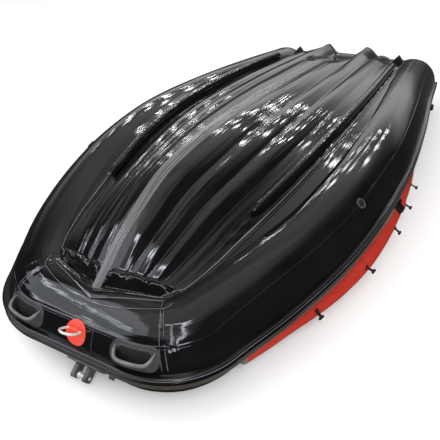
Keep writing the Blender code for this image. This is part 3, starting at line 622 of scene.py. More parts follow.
def gathers(y, share, side):
    """Height of the folds beside the bow weld, the pleats in them and the streaks of the bottom's cloth."""
    flange = flange_at(y)
    x = flange.x * share
    back = y - BOTTOM_START
    free = ease(share, LOBE_EDGES[0], LOBE_EDGES[0] + 0.05) * (1 - ease(share, 0.88, 1.0))
    at = FOLD_AT + FOLD_WANDER * noise.noise(Vector((x * 9.0, 4.0, side * 3.0)))
    plump = FOLD_PLUMP[0] + FOLD_PLUMP[1] * abs(noise.noise(Vector((x * 9.0, 8.0, side * 2.0))))
    roll = FOLD * plump * bell(back, at, FOLD_REACH)
    roll -= HOLLOW * bell(back, HOLLOW_AT, HOLLOW_REACH)
    sharp = PLEAT_CREST - abs(noise.noise(Vector((x * 12.0, back * 6.0, side * 5.0))))
    pleat = PLEAT * sharp * bell(back, at, PLEAT_REACH) * ease(back, 0.0, 0.02)
    streaks = noise.noise(Vector((y * 1.1, share * 21.0, side * 4.0)))
    streaks += 0.6 * noise.noise(Vector((y * 2.6, share * 47.0, side * 7.0)))
    edge = bell(share, EDGE_GATHER_AT, EDGE_GATHER_REACH) * ease(back, 0.1, 0.5)
    gather = EDGE_GATHER * edge * noise.noise(Vector((y * 15.0, share * 6.0, side * 5.0)))
    return (roll + pleat) * free + STREAK * streaks * ease(back, 0.0, 0.1) * free + gather


def half_section(y, side):
    """One side of the bottom's section: from the keel to the flange, down, and in to the floor's middle."""
    half, lay = [], []
    for i in range(BOTTOM_ACROSS + 1):
        share = i / BOTTOM_ACROSS
        point = bottom_point(y, share)
        point.z += gathers(y, share, side)
        half.append(point)
        lay.append((point.y, point.x * side, 0.0))
    flange = flange_at(y)
    axis_z = flange.z - FLANGE_RISE
    inner_x = flange.x + smooth(BOTTOM, y, 2) - COCKPIT_INBOARD
    landing = Vector((inner_x, flange.y, axis_z + TUBE_R - LANDING_DROP))
    for i in range(1, LANDING_STEPS + 1):
        half.append(flange.lerp(landing, i / LANDING_STEPS))
    half.append(Vector((inner_x, flange.y, axis_z + COCKPIT_RISE)))
    half.append(Vector((inner_x * 0.5, (flange.y + y) / 2, axis_z + COCKPIT_RISE)))
    half.append(Vector((0.0, y, axis_z + COCKPIT_RISE)))
    raked = ease(y, RAKE_START, BOTTOM_END)
    for point in half:
        point.y -= (point.z - TUNNEL_FLOOR_Z) * TRANSOM_RAKE * raked
        point.x *= side
    lay += [(p.y, p.x, 0.0) for p in half[len(lay):]]
    return half, lay


section_rows, section_lays = [], []
for t in spread(0.0, 1.0, BOTTOM_STEPS):
    # Sections lie closer together at the bow, where the folds are
    y = BOTTOM_START + (BOTTOM_END - BOTTOM_START) * (0.20 * t + 0.80 * t * t)
    right, right_lay = half_section(y, 1)
    left, left_lay = half_section(y, -1)
    section_rows.append(right + left[-2:0:-1])
    section_lays.append(right_lay + left_lay[-2:0:-1])
bottom_mesh = sheet_mesh("bottom_cloth", section_rows, section_lays, around=True, capped=True)
floor_cloth = coated_cloth("floor_cloth", (0.030, 0.030, 0.032), (0.045, 0.045, 0.048), (0.42, 0.55))
finishes = (black_cloth, floor_cloth)
bottom = place_piece("bottom_cloth", bottom_mesh, finishes, replaced=("hull_bottom",))
floor_from = BOTTOM_ACROSS + LANDING_STEPS + 1
floor_to = len(section_rows[0]) - floor_from
for polygon in bottom.data.polygons:
    columns = {v % len(section_rows[0]) for v in polygon.vertices}
    if len(columns) == 2 and all(floor_from <= c <= floor_to for c in columns):
        polygon.material_index = 1

# Bow and side weld tapes
# Flat tapes that weld the bottom's edge down: a band that follows the bottom's pointed bow edge, a wider
# reinforcing panel in front of it, and a band along each side from the flange over the tube's crown.
BOW_BAND_STEPS = 44
BAND_HALF = 0.318
PANEL_HALF = 0.345
# Places across and aft where the panel's front edge turns towards the stern
PANEL_TURN = ((0.356, 0.226), (0.363, 0.248), (0.366, 0.272), (0.366, 0.298))
# Front edges at the centre, and how far they sweep aft towards the sides
BAND_FRONT_Y = 0.136
BAND_SWEEP = 0.37
PANEL_FRONT_Y = 0.123
PANEL_SWEEP = 0.75
EDGE_LAP = 0.003
# Heights over the tube's crown of the tapes' edges, and of the weld lines over those
EDGE_LIFT = 0.0016
BAND_LIFT = 0.0010
PANEL_LIFT = 0.0004
TURN_LIFT = 0.0014
WELD_LIFT = 0.0012
BOW_BAND_T = 0.0016
PANEL_T = 0.0012
SIDE_BAND_T = 0.0018
SIDE_BAND_W = 0.030
SIDE_BAND_START = 0.22
SIDE_BAND_SHORT = 0.02
SIDE_BAND_LAP = 0.006
SIDE_BAND_STEPS = 160
UP = Vector((0.0, 0.0, 1.0))
# Double weld line along the side tube, columns: y aft, distance inboard of the tube's axis
SIDE_WELD = (
    (0.42, 0.118),
    (0.62, 0.147),
    (1.05, 0.183),
    (1.59, 0.146),
    (1.88, 0.107),
    (3.05, 0.019),
    (3.85, 0.010),
)
SIDE_WELD_APART = 0.010
SIDE_WELD_OVER = 0.004
SIDE_WELD_R = 0.0021
SIDE_WELD_STEPS = 180
LOBE_WELD_START = 0.30
LOBE_WELD_END = 3.60
LOBE_WELD_STEPS = 120


def crown_at(x, y, above):
    """Point on top of the tube or the flat weld beside it, and its outward direction."""
    side = -1 if x < 0 else 1
    x = abs(x)
    best = None
    for row in TUBE[:BOW_STEPS + CORNER_STEPS + 40]:
        flat = Vector((x - row[1].x, y - row[1].y, 0.0))
        gap = abs(flat.dot(Vector((row[2].x, row[2].y, 0.0)).normalized()))
        if best is None or gap < best[0]:
            best = (gap, row, flat.dot(row[3]))
    row, off = best[1], best[2]
    off = max(min(off, TUBE_R * 0.98), -TUBE_R * 0.98)
    rise = math.sqrt(TUBE_R**2 - off**2)
    ray = (row[3] * off + row[4] * rise).normalized()
    point = Vector((x, y, 0.0)) + Vector((0.0, 0.0, row[1].z + ray.z * TUBE_R / max(row[4].z, 0.5)))
    point += ray * above
    return Vector((point.x * side, point.y, point.z)), Vector((ray.x * side, ray.y, ray.z))


def bow_edge_y(x):
    """Place aft of the bottom's bow edge at a place across."""
    return BOTTOM_START + BOTTOM[0][3] * abs(x) / BOW_EDGE_HALF


def bow_band_y(x):
    """Place aft of the front edge of the bow weld band, at a place across."""
    return BAND_FRONT_Y + BAND_SWEEP * abs(x)


def bow_panel_y(x):
    """Place aft of the front edge of the reinforcing panel, at a place across."""
    return PANEL_FRONT_Y + PANEL_SWEEP * x * x


edge_line, band_line, panel_line = [], [], []
band_edges, panel_edges = [], []
for step in range(-BOW_BAND_STEPS, BOW_BAND_STEPS + 1):
    share = step / BOW_BAND_STEPS
    start = crown_at(BOW_EDGE_HALF * share, bow_edge_y(BOW_EDGE_HALF * share) + EDGE_LAP, EDGE_LIFT)
    mid = crown_at(BAND_HALF * share, bow_band_y(BAND_HALF * share), BAND_LIFT)
    far = crown_at(PANEL_HALF * share, bow_panel_y(PANEL_HALF * share), PANEL_LIFT)
    band_edges.append((mid, start))
    panel_edges.append((far, mid))
    for line, point in ((edge_line, start), (band_line, mid), (panel_line, far)):
        line.append(point[0] + point[1] * WELD_LIFT)
tape("bow_panel", panel_edges, black_cloth, thickness=PANEL_T)
tape("bow_weld_band", band_edges, black_cloth, thickness=BOW_BAND_T)
to_port = [crown_at(-x, y, TURN_LIFT)[0] for x, y in PANEL_TURN[::-1]]
to_starboard = [crown_at(x, y, TURN_LIFT)[0] for x, y in PANEL_TURN]
weld_beads("bow_welds", [edge_line, band_line, to_port + panel_line + to_starboard])

for label, side in SIDES:
    side_edges, flange_line = [], []
    for y in spread(SIDE_BAND_START, BOTTOM_END - SIDE_BAND_SHORT, SIDE_BAND_STEPS):
        flange = flange_at(y)
        inner = flange + Vector((SIDE_BAND_LAP, 0.0, 0.0006))
        outer = flange + Vector((SIDE_BAND_W, 0.0, -0.0004))
        for p in (inner, outer):
            p.x *= side
        side_edges.append(((inner, UP), (outer, UP)))
        flange_line.append(inner + UP * 0.0016)
    tape(label + "_flange_band", side_edges, black_cloth, thickness=SIDE_BAND_T)
    side_lines = [flange_line]
    for apart in (0.0, SIDE_WELD_APART):
        line = []
        for y in spread(SIDE_WELD[0][0], SIDE_WELD[-1][0], SIDE_WELD_STEPS):
            off = min(smooth(SIDE_WELD, y, 1), smooth(BOTTOM, y, 2) + SIDE_WELD_OVER) - apart
            line.append(on_cloth(side * distance_of(y), math.pi / 2 + math.asin(off / TUBE_R))[0])
        side_lines.append(line)
    weld_beads(label + "_side_welds", side_lines, SIDE_WELD_R)

    lobe_lines = []
    for share in LOBE_EDGES[1:]:
        ys = spread(LOBE_WELD_START, LOBE_WELD_END, LOBE_WELD_STEPS)
        line = [bottom_point(y, share) + UP * gathers(y, share, side) for y in ys]
        lobe_lines.append([Vector((p.x * side, p.y, p.z)) for p in line])
    # The lobe welds take the dim grey of a painted faint glint along each crease.
    weld_beads(label + "_lobe_welds", lobe_lines, FINE_WELD_R, weld_glint_and_groove_shade)

# Keel strip
# Flat armour strip of thick grey PVC with fine lengthwise ribs, glued along the keel from the bow edge
# down into the start of the tunnel.
KEEL_STRIP_END = 3.40
KEEL_RIBS = 6
KEEL_T = 0.0036
KEEL_RIB_T = 0.0030
KEEL_EDGE_FROM = 0.94
KEEL_EDGE_FALL = 0.8
KEEL_SUNK = 0.006
KEEL_STEPS = 260
RIB_COLUMNS = 8
KEEL_ACROSS = KEEL_RIBS * RIB_COLUMNS


def grey_strip_finish():
    """Thick extruded PVC, scuffed lengthwise."""
    material, shader = new_finish("grey_keel_pvc")
    place = add_node(material, "Attribute", {}, attribute_name="lay").outputs["Vector"]
    scuff = noise_at(material, place, (4.0, 240.0, 1.0), 6.0)
    colour = blended(material, scuff, (0.075, 0.074, 0.078), (0.190, 0.187, 0.194))
    gloss = between(material, noise_at(material, place, (5.0, 90.0, 1.0)), 0.20, 0.34)
    return filled(material, shader, colour, gloss, bump(material, scuff, 0.3, 0.0006))


keel_rows, keel_lays = [], []
for y in spread(BOTTOM_START, KEEL_STRIP_END, KEEL_STEPS):
    top, top_lay = [], []
    for share in spread(-1, 1, KEEL_ACROSS):
        point = bottom_point(y, abs(share) * LOBE_EDGES[0])
        point.x *= 1 if share > 0 else -1
        rib = 0.5 - 0.5 * math.cos(2 * math.pi * KEEL_RIBS * (share + 1) / 2)
        edge = 1 - ease(abs(share), KEEL_EDGE_FROM, 1.0) * KEEL_EDGE_FALL
        point.z += KEEL_T * edge + KEEL_RIB_T * rib
        top.append(point)
        top_lay.append((y, point.x, 0.0))
    keel_rows.append(top + [top[-1] - UP * KEEL_SUNK, top[0] - UP * KEEL_SUNK])
    keel_lays.append(top_lay + [top_lay[-1], top_lay[0]])
keel_mesh = sheet_mesh("ribbed_keel_strip", keel_rows, keel_lays, around=True, capped=True)
keel_finishes = (grey_strip_finish(), weld_glint_and_groove_shade)
keel = place_piece("ribbed_keel_strip", keel_mesh, keel_finishes, replaced=("keel_strip",))
# Faces in the grooves between the ribs take the darker finish: painted shade.
for polygon in keel.data.polygons:
    column = min(v % len(keel_rows[0]) for v in polygon.vertices)
    on_top = len(polygon.vertices) == 4 and 0 < column < KEEL_ACROSS - 1
    if on_top and column % RIB_COLUMNS in (0, RIB_COLUMNS - 1):
        polygon.material_index = 1

# Chine tubes
# Slim inflated tubes of black cloth, welded along the bottom inboard of each flange. They throw spray out
# and steady the boat. The narrow cloth gathers in rings, and each front end is closed to a flat tip.
CHINE_R = 0.027
CHINE_INBOARD = 0.036
CHINE_START = 0.86
CHINE_END = 3.50
CHINE_SINK = 0.003
CHINE_STEPS = 300
CHINE_ROUND = 32
CHINE_GATHER = 0.0012
CHINE_NOSE = 0.10
CHINE_TAIL = 0.035
CHINE_TIP = 0.02


def rounding(gone, length):
    """Share of the full radius near a rounded end of a tube."""
    return math.sqrt(max(1 - (1 - min(gone / length, 1.0)) ** 2, CHINE_TIP))


for label, side in SIDES:
    path = []
    for y in spread(CHINE_START, CHINE_END, CHINE_STEPS):
        under = bottom_point(y, 1 - CHINE_INBOARD / flange_at(y).x)
        path.append(under + UP * (CHINE_R - CHINE_SINK))
    rows, lays = [], []
    for gone, place, along, out, up in stations(path):
        taper = rounding(gone, CHINE_NOSE) * rounding(path[-1].y - place.y, CHINE_TAIL)
        row, lay = [], []
        for angle in round_turns(CHINE_ROUND):
            relief = CHINE_GATHER * noise.noise(Vector((gone * 34.0, angle * 1.4, side * 3.0)))
            ray = out * math.cos(angle) + up * math.sin(angle)
            point = place + ray * (CHINE_R + relief) * taper
            row.append(Vector((point.x * side, point.y, point.z)))
            lay.append((gone, angle * CHINE_R, 0.0))
        rows.append(row)
        lays.append(lay)
    name = label + "_chine_cloth"
    mesh = sheet_mesh(name, rows, lays, around=True, capped=True)
    place_piece(name, mesh, black_cloth, replaced=(label + "_chine_tube",))

# Rub strakes
# Extruded black rubber glued round the outside of the tube: a round bead towards the keel side, a groove
# and a flat ribbed face below it. Its ribs are painted brownish grey for the floor's warm reflection, and a
# pale line painted along the bead stands for the bead's highlight.
STRAKE_HALF = 0.028
STRAKE_OUT = 0.023
STRAKE_SPLIT_Y = 0.62
STRAKE_FACE = TUBE_R + 0.0006
STRAKE_FLARE = 0.45
FLARE_AT = 0.401
FLARE_NEAR = 0.104
FLARE_FAR = 0.63
BEAD_R = 0.011
BEAD_TURNS = (math.radians(95.0), math.radians(-25.0))
BEAD_STEPS = 12
STRAKE_CUT = 0.0005
RIB_COUNT = 3
RIB_POINTS = 4
RIB_TOP = -0.001
RIB_LOW = -0.025
RIB_DEPTH = 0.0050


def strake_flare(distance):
    """Growth of the strake's thickness, which is more round each bow corner."""
    far = abs(distance)
    corner_end = DISTANCES[BOW_STEPS + CORNER_STEPS]
    off = (min(far, corner_end) - FLARE_AT) / FLARE_NEAR + max(far - corner_end, 0.0) / FLARE_FAR
    return 1 + STRAKE_FLARE * math.exp(-off * off)


def strake_profile():
    """Section of the rub strake: its distances out from the face and up from the tube's middle."""
    points = [(-0.002, STRAKE_HALF), (0.004, STRAKE_HALF)]
    out, up = STRAKE_OUT - BEAD_R, STRAKE_HALF - BEAD_R
    for turn in spread(*BEAD_TURNS, BEAD_STEPS):
        points.append((out + BEAD_R * math.cos(turn), up + BEAD_R * math.sin(turn)))
    points += [(0.0155, 0.0050), (0.0145, 0.0025), (0.0155, 0.0004)]
    for rib in range(RIB_COUNT):
        top = RIB_TOP + (RIB_LOW - RIB_TOP) * rib / RIB_COUNT
        low = RIB_TOP + (RIB_LOW - RIB_TOP) * (rib + 1) / RIB_COUNT
        points.append((STRAKE_OUT - RIB_DEPTH, top - 0.0004))
        points.append((STRAKE_OUT, top * 0.8 + low * 0.2))
        points.append((STRAKE_OUT, top * 0.2 + low * 0.8))
        points.append((STRAKE_OUT - RIB_DEPTH, low + 0.0004))
    return points + [(0.016, -0.0262), (-0.002, -STRAKE_HALF)]


def rubber_finish(name, dark, light, gloss):
    """Moulded rubber: colour that wanders at random, fine grain and duller scuffs."""
    material, shader = new_finish(name)
    place = add_node(material, "TexCoord", {}).outputs["Object"]
    colour = blended(material, noise_at(material, place, (16.0, 16.0, 16.0)), dark, light)
    scuffs = between(material, noise_at(material, place, (40.0, 40.0, 40.0)), *gloss)
    grain = noise_at(material, place, (900.0, 900.0, 900.0), 2.0)
    return filled(material, shader, colour, scuffs, bump(material, grain, 0.2, 0.0004))


strake_rubber = coated_cloth(
    "strake_rubber", (0.0030, 0.0030, 0.0030), (0.0060, 0.0060, 0.0060), (0.14, 0.24), 0.0002
)
# Brownish grey of the ribs: the floor's warm reflection painted into the rubber's colour.
rib_floor_reflection_rubber = coated_cloth(
    "rib_floor_reflection_rubber", (0.040, 0.034, 0.028), (0.088, 0.075, 0.062), (0.30, 0.48), 0.0004
)
# Pale bluish grey line on the bead: a painted highlight.
bead_highlight_line_rubber = coated_cloth(
    "bead_highlight_line_rubber", (0.090, 0.094, 0.105), (0.230, 0.235, 0.250), (0.20, 0.32), 0.0
)
profile = strake_profile()
# Points of the section at which the ribs start, and the line on the bead that is painted pale as its
# highlight
rib_from = next(i for i, (out, up) in enumerate(profile) if up < 0)
highlight_line_from = 2 + BEAD_STEPS * 5 // 8
split = distance_of(STRAKE_SPLIT_Y)


def strake(name, distances, replaced):
    """Length of strake through distances along the tube, with a painted highlight line on its bead and its
    ribs painted brownish grey as the floor's reflection.
    """
    rows, lays = [], []
    for d in distances:
        place, _, out, up = station_at(d)
        flare = strake_flare(d)
        rows.append([place + out * (STRAKE_FACE + a * flare) + up * b for a, b in profile])
        lays.append([(d, b, 0.0) for a, b in profile])
    mesh = sheet_mesh(name, rows, lays, around=True, capped=True)
    finishes = (strake_rubber, rib_floor_reflection_rubber, bead_highlight_line_rubber)
    piece = place_piece(name, mesh, finishes, replaced=(replaced,))
    count = len(profile)
    for polygon in piece.data.polygons:
        columns = [v % count for v in polygon.vertices]
        if len(columns) > 4:
            continue
        rib_face = min(columns) - rib_from
        if 0 <= rib_face < RIB_COUNT * RIB_POINTS and rib_face % RIB_POINTS == 1:
            polygon.material_index = 1
        elif min(columns) == highlight_line_from and max(columns) == highlight_line_from + 1:
            polygon.material_index = 2


inner_distances = [d for d in DISTANCES if d < split] + [split - STRAKE_CUT]
strake("bow_strake", both_ways(inner_distances), "bow_rub_strake")
outer_distances = [split + STRAKE_CUT] + [d for d in DISTANCES if d > split + 4 * STRAKE_CUT]
strake("starboard_strake", outer_distances, "starboard_rub_strake")
strake("port_strake", [-d for d in outer_distances], "port_rub_strake")

# Side bolsters
# Slim inflated tubes of red coated cloth along the deck side of the forward tubes, which lift the gunwale
# against spray. A grey band covers the weld to the main tube, its tan-grey colour a painted reflection of the
# floor, and narrow tapes cross each panel joint.
# Columns: y aft, radius
BOLSTER = (
    (0.42, 0.019),
    (0.62, 0.028),
    (0.90, 0.048),
    (1.20, 0.066),
    (1.45, 0.070),
    (1.75, 0.066),
    (2.10, 0.060),
    (2.36, 0.053),
)
BOLSTER_ANGLE = math.radians(-50.0)
BOLSTER_SINK = 0.012
BOLSTER_STEPS = 150
BOLSTER_ROUND = 48
BAND_TOP = math.radians(150.0)
# The band's lower edge comes down the bolster towards the stern
BAND_LOW_FORE = math.radians(84.0)
BAND_LOW_AFT = math.radians(66.0)
BAND_FALL = (1.15, 1.75)
BAND_SHOWN = 0.012
BAND_STEPS = 16
GREY_NOSE_ROWS = 9
CROSS_TAPE_YS = (0.78, 1.17, 1.62)
CROSS_TAPE_W = 0.020


def side_at(y, angle, radius):
    """Point at an angle and radius round the starboard tube's axis, and its directions out and along."""
    place, along, out, up = station_at(distance_of(y))
    ray = out * math.cos(angle) + up * math.sin(angle)
    return place + ray * radius, ray, along


def bolster_at(y, angle, above=0.0, side=1):
    """Point at an angle round the bolster and a height above its cloth, with its outward direction."""
    radius = smooth(BOLSTER, y, 1)
    centre = side_at(y, BOLSTER_ANGLE, TUBE_R + radius - BOLSTER_SINK)[0]
    _, ray, along = side_at(y, angle, 1.0)
    relief = 0.0011 * noise.noise(Vector((y * 5.0, angle * 2.4, side * 3.0)))
    relief -= 0.0012 * sum(bell(y, at, 0.022) for at in CROSS_TAPE_YS)
    point = centre + ray * (radius + relief + above)
    if side < 0:
        point, ray, along = (Vector((-v.x, v.y, v.z)) for v in (point, ray, along))
    return point, ray, along


red_cloth = coated_cloth("red_cloth", (0.340, 0.013, 0.005), (0.410, 0.021, 0.009), (0.30, 0.44), 0.0002)
# Tan-grey cloth of the weld band and the bolster's nose. On the band its colour is a painted reflection of
# the floor.
grey_and_floor_reflection_cloth = coated_cloth(
    "grey_and_floor_reflection_cloth", (0.105, 0.098, 0.085), (0.140, 0.130, 0.114), (0.34, 0.46), 0.0002
)
for label, side in SIDES:
    first, last = BOLSTER[0][0], BOLSTER[-1][0]
    rows, lays = [], []
    turns = round_turns(BOLSTER_ROUND)
    nose = [(first, math.sin(math.pi / 2 * k / 8)) for k in range(1, 8)]
    body_ys = [(first + (last - first) * k / BOLSTER_STEPS, 1.0) for k in range(BOLSTER_STEPS + 1)]
    for y, full in nose + body_ys:
        radius = smooth(BOLSTER, y, 1)
        back = radius * math.sqrt(max(1 - full**2, 0.0))
        centre = bolster_at(y, 0.0, -radius, side)[0]
        along = bolster_at(y, 0.0, 0.0, side)[2]
        rows.append([centre + (bolster_at(y, a, 0.0, side)[0] - centre) * full - along * back for a in turns])
        lays.append([(y, a * radius, 0.0) for a in turns])
    end_along = (rows[-1][0] - rows[-3][0]).normalized()
    end_ring = rows[-1]
    end_centre = sum(end_ring, Vector()) / BOLSTER_ROUND
    for k in range(1, 10):
        turn = math.pi / 2 * k / 10
        push = end_along * BOLSTER[-1][1] * math.sin(turn)
        rows.append([end_centre + (p - end_centre) * math.cos(turn) + push for p in end_ring])
        lays.append([(last + push.length, a * BOLSTER[-1][1], 0.0) for a in turns])
    name = label + "_bolster_cloth"
    mesh = sheet_mesh(name, rows, lays, around=True, capped=True)
    finishes = (red_cloth, grey_and_floor_reflection_cloth)
    bolster = place_piece(name, mesh, finishes, replaced=(label + "_bolster",))
    for polygon in bolster.data.polygons:
        if max(polygon.vertices) < GREY_NOSE_ROWS * BOLSTER_ROUND:
            polygon.material_index = 1

    rows, lays = [], []
    for k in range(BOLSTER_STEPS + 1):
        y = first + 0.02 + (last - first - 0.03) * k / BOLSTER_STEPS
        low = BAND_LOW_FORE + (BAND_LOW_AFT - BAND_LOW_FORE) * ease(y, *BAND_FALL)
        low -= BAND_SHOWN / smooth(BOLSTER, y, 1)
        row, lay = [], []
        for j in range(BAND_STEPS + 1):
            angle = low + (BAND_TOP - low) * j / BAND_STEPS
            row.append(bolster_at(y, angle, 0.0014, side)[0])
            lay.append((y, angle * 0.06, 0.0))
        row.append(bolster_at(y, BAND_TOP, -0.002, side)[0])
        row.append(bolster_at(y, low, -0.002, side)[0])
        lay += [lay[-1], lay[0]]
        rows.append(row)
        lays.append(lay)
    mesh = sheet_mesh(label + "_bolster_band", rows, lays, around=True, capped=True)
    place_piece(label + "_bolster_band", mesh, grey_and_floor_reflection_cloth)

    for number, at in enumerate(CROSS_TAPE_YS, 1):
        edges = []
        for a in turns:
            edges.append((bolster_at(at - CROSS_TAPE_W / 2, a, -0.0004, side)[:2],
                          bolster_at(at + CROSS_TAPE_W / 2, a, -0.0004, side)[:2]))
        name = "%s_bolster_tape_%d" % (label, number)
        tape(name, edges, red_cloth, thickness=0.0012, closed=True)

# Bow handles
# Moulded grey carry handles, one each side of the tow patch. Each has a rounded base glued to the tube and a
# bowl-shaped grip with a thick rolled lip, painted paler grey as its highlight, which stands open towards the
# keel over a hollow, where a black pad on the base is painted shade.
FRONT_ANGLE = math.radians(25.0)
HANDLE_X = 0.313
HANDLE_HALF_W = 0.118
HANDLE_HALF_H = 0.055
HANDLE_CORNER = 0.045
HANDLE_BASE_T = 0.008
SCOOP_HALF = 0.096
SCOOP_END_V = 0.030
SCOOP_DIP = 0.042
SCOOP_FOOT_V = -0.046
SCOOP_OUT = 0.038
SCOOP_BULGE = 0.010
SCOOP_T = 0.006
SCOOP_SQUARE = 7
SCOOP_COLUMNS = 64
SCOOP_ROWS = 14
LIP_R = 0.0078
TOP_SCALES = (0.85, 0.65, 0.45, 0.25, 0.08)


def on_bow(x, angle, above):
    """Point over the bow tube at a place across and an angle up, and its outward direction."""
    reach = CORNER_R + TUBE_R * math.cos(angle)
    turn = math.asin(min(max(abs(x) - CORNER_X, 0.0) / reach, 1.0))
    distance = min(abs(x), CORNER_X) + CORNER_R * turn
    return tube_at(math.copysign(distance, x), angle, above)


def round_rect(half_x, half_y, corner, round_steps=8, straight_steps=6):
    """Outline of a rectangle with round corners, as a function of how far it is drawn in."""

    def outline(inset):
        points = []
        radius = max(corner - inset, 0.0004)
        for quarter, (sx, sy) in enumerate(((1, 1), (-1, 1), (-1, -1), (1, -1))):
            for k in range(round_steps + 1):
                turn = math.pi / 2 * (quarter + k / round_steps)
                x = sx * (half_x - corner) + radius * math.cos(turn)
                points.append((x, sy * (half_y - corner) + radius * math.sin(turn)))
        even = []
        for i, (x, y) in enumerate(points):
            even.append((x, y))
            if i % (round_steps + 1) == round_steps:
                nx, ny = points[(i + 1) % len(points)]
                for k in range(1, straight_steps):
                    even.append((x + (nx - x) * k / straight_steps, y + (ny - y) * k / straight_steps))
        return even

    return outline


def oval(half_x, half_y, steps=56):
    """Outline of an oval, as a function of how far it is drawn in."""

    def outline(inset):
        turns = [2 * math.pi * k / steps for k in range(steps)]
        return [((half_x - inset) * math.cos(t), (half_y - inset) * math.sin(t)) for t in turns]

    return outline


def pad_mesh(name, outline, layers, place):
    """Moulded pad through layers of inset and height. Its top follows what it sits on."""
    levels = [(inset, height, 1.0) for inset, height in layers]
    levels += [(layers[-1][0], layers[-1][1], scale) for scale in TOP_SCALES]
    rows, lays = [], []
    for inset, height, scale in levels:
        rows.append([place(x * scale, y * scale, height) for x, y in outline(inset)])
        lays.append([(x * scale, y * scale, height) for x, y in outline(inset)])
    return sheet_mesh(name, rows, lays, around=True, capped=True)


def grip_line(u):
    """Middle of the grip's wall from lip to foot, as distances up the tube and out from it."""
    arch = 1 - abs(u) ** SCOOP_SQUARE
    lip_v, lip_w = SCOOP_END_V - SCOOP_DIP * arch, HANDLE_BASE_T / 2 + SCOOP_OUT * arch
    line = []
    for row in range(SCOOP_ROWS + 1):
        down = row / SCOOP_ROWS
        w = lip_w + (HANDLE_BASE_T / 2 - lip_w) * down + SCOOP_BULGE * arch * math.sin(math.pi * down)
        line.append(Vector((lip_v + (SCOOP_FOOT_V - lip_v) * down, w)))
    return line


def grip_section(u):
    """Closed outline of the grip's wall at a share across."""
    line = grip_line(u)
    outer, inner = [], []
    for i, point in enumerate(line):
        ahead = line[min(i + 1, SCOOP_ROWS)] - line[max(i - 1, 0)]
        normal = Vector((-ahead.y, ahead.x)).normalized() * SCOOP_T / 2
        outer.append(point - normal)
        inner.append(point + normal)
    return outer + inner[::-1]


moulded_grey = rubber_finish("moulded_grey", (0.030, 0.030, 0.032), (0.052, 0.051, 0.054), (0.34, 0.50))
# Paler grey of the rolled lip: a painted highlight.
lip_highlight_grey = rubber_finish("lip_highlight_grey", (0.090, 0.088, 0.092), (0.150, 0.147, 0.153), (0.26, 0.38))
# Black pad in the hollow under the grip: painted shade.
shade_pad_black = rubber_finish("shade_pad_black", (0.004, 0.004, 0.004), (0.009, 0.009, 0.009), (0.40, 0.60))
BASE_LAYERS = ((0.0, -0.004), (0.0, 0.0045), (0.0012, 0.0070), (0.0030, 0.0080), (0.0075, 0.0080),
               (0.0090, 0.0066), (0.0130, 0.0066))
SHADE_PAD_LAYERS = ((0.0, 0.0055), (0.001, 0.0072))
for label, side in SIDES:
    middle = HANDLE_X * side

    def on_handle(x, y, above):
        return on_bow(middle + x, FRONT_ANGLE + y / TUBE_R, above)[0]

    name = label + "_handle_base"
    base = pad_mesh(name, round_rect(HANDLE_HALF_W, HANDLE_HALF_H, HANDLE_CORNER), BASE_LAYERS, on_handle)
    place_piece(name, base, moulded_grey, replaced=(label + "_bow_handle",))
    # Painted shade: a thin black pad laid on the base inside the grip.
    shade_pad = pad_mesh(label + "_handle_shade_pad", round_rect(0.086, 0.034, 0.030), SHADE_PAD_LAYERS, on_handle)
    place_piece(label + "_handle_shade_pad", shade_pad, shade_pad_black)
    shares = spread(-1, 1, SCOOP_COLUMNS)
    rows = [[on_handle(u * SCOOP_HALF, v, w) for v, w in grip_section(u)] for u in shares]
    lays = [[(u * SCOOP_HALF, v, w) for v, w in grip_section(u)] for u in shares]
    grip = sheet_mesh(label + "_handle_grip", rows, lays, around=True, capped=True)
    place_piece(label + "_handle_grip", grip, moulded_grey)
    lip = [on_handle(u * SCOOP_HALF, *grip_line(u)[0]) for u in shares]
    radii = [LIP_R * math.sqrt(max(1 - abs(u) ** 12, 0.08)) for u in shares]
    rolled = rod_mesh(label + "_handle_lip", lip, radii, 12)
    place_piece(label + "_handle_lip", rolled, lip_highlight_grey)

# Tow patch and ring
# An oval of thick red cloth glued to the middle of the bow, with a sewn fold of webbing on it. A bent and
# welded stainless ring swings in the fold.
PATCH_HALF_W = 0.056
PATCH_HALF_H = 0.061
PATCH_T = 0.0033
WEBBING_HALF_W = 0.029
WEBBING_HALF_H = 0.011
WEBBING_T = 0.020
WEBBING_UP = 0.016
WEBBING_FOOT = 0.0036
RING_HALF = 0.040
RING_WAIST = 0.033
RING_KNEE = 0.010
RING_SHOULDER = 0.035
RING_REACH = 0.070
RING_ROD = 0.0056
ACROSS = Vector((1.0, 0.0, 0.0))


def steel_finish():
    """Polished stainless rod with fine drawn lines."""
    material, shader = new_finish("polished_steel")
    place = add_node(material, "TexCoord", {}).outputs["Object"]
    drawn = noise_at(material, place, (300.0, 300.0, 300.0), 3.0)
    colour = blended(material, drawn, (0.66, 0.64, 0.62), (0.80, 0.78, 0.76))
    shader.inputs["Metallic"].default_value = 0.45
    return filled(material, shader, colour, between(material, drawn, 0.22, 0.36))


def basis(origin, x_axis, z_axis):
    """Matrix with its x along one direction and its z along another, at a point."""
    z = z_axis.normalized()
    x = (x_axis - z * x_axis.dot(z)).normalized()
    return Matrix.Translation(origin) @ Matrix((x, z.cross(x), z)).transposed().to_4x4()


steel = steel_finish()
patch_red = coated_cloth("patch_red", (0.620, 0.045, 0.020), (0.720, 0.060, 0.030), (0.34, 0.48), 0.0002)


def on_patch(x, y, above):
    """Place over the tow patch, whose cloth rises over the glued end of the webbing."""
    ridge = 0.0016 * math.exp(-(((y - WEBBING_UP) / 0.016) ** 2) - (x / 0.034) ** 2)
    return on_bow(x, FRONT_ANGLE + y / TUBE_R, above + ridge)[0]


def on_webbing(x, y, above):
    """Place over the webbing's fold."""
    return on_bow(x, FRONT_ANGLE + (WEBBING_UP + y) / TUBE_R, WEBBING_FOOT + above)[0]


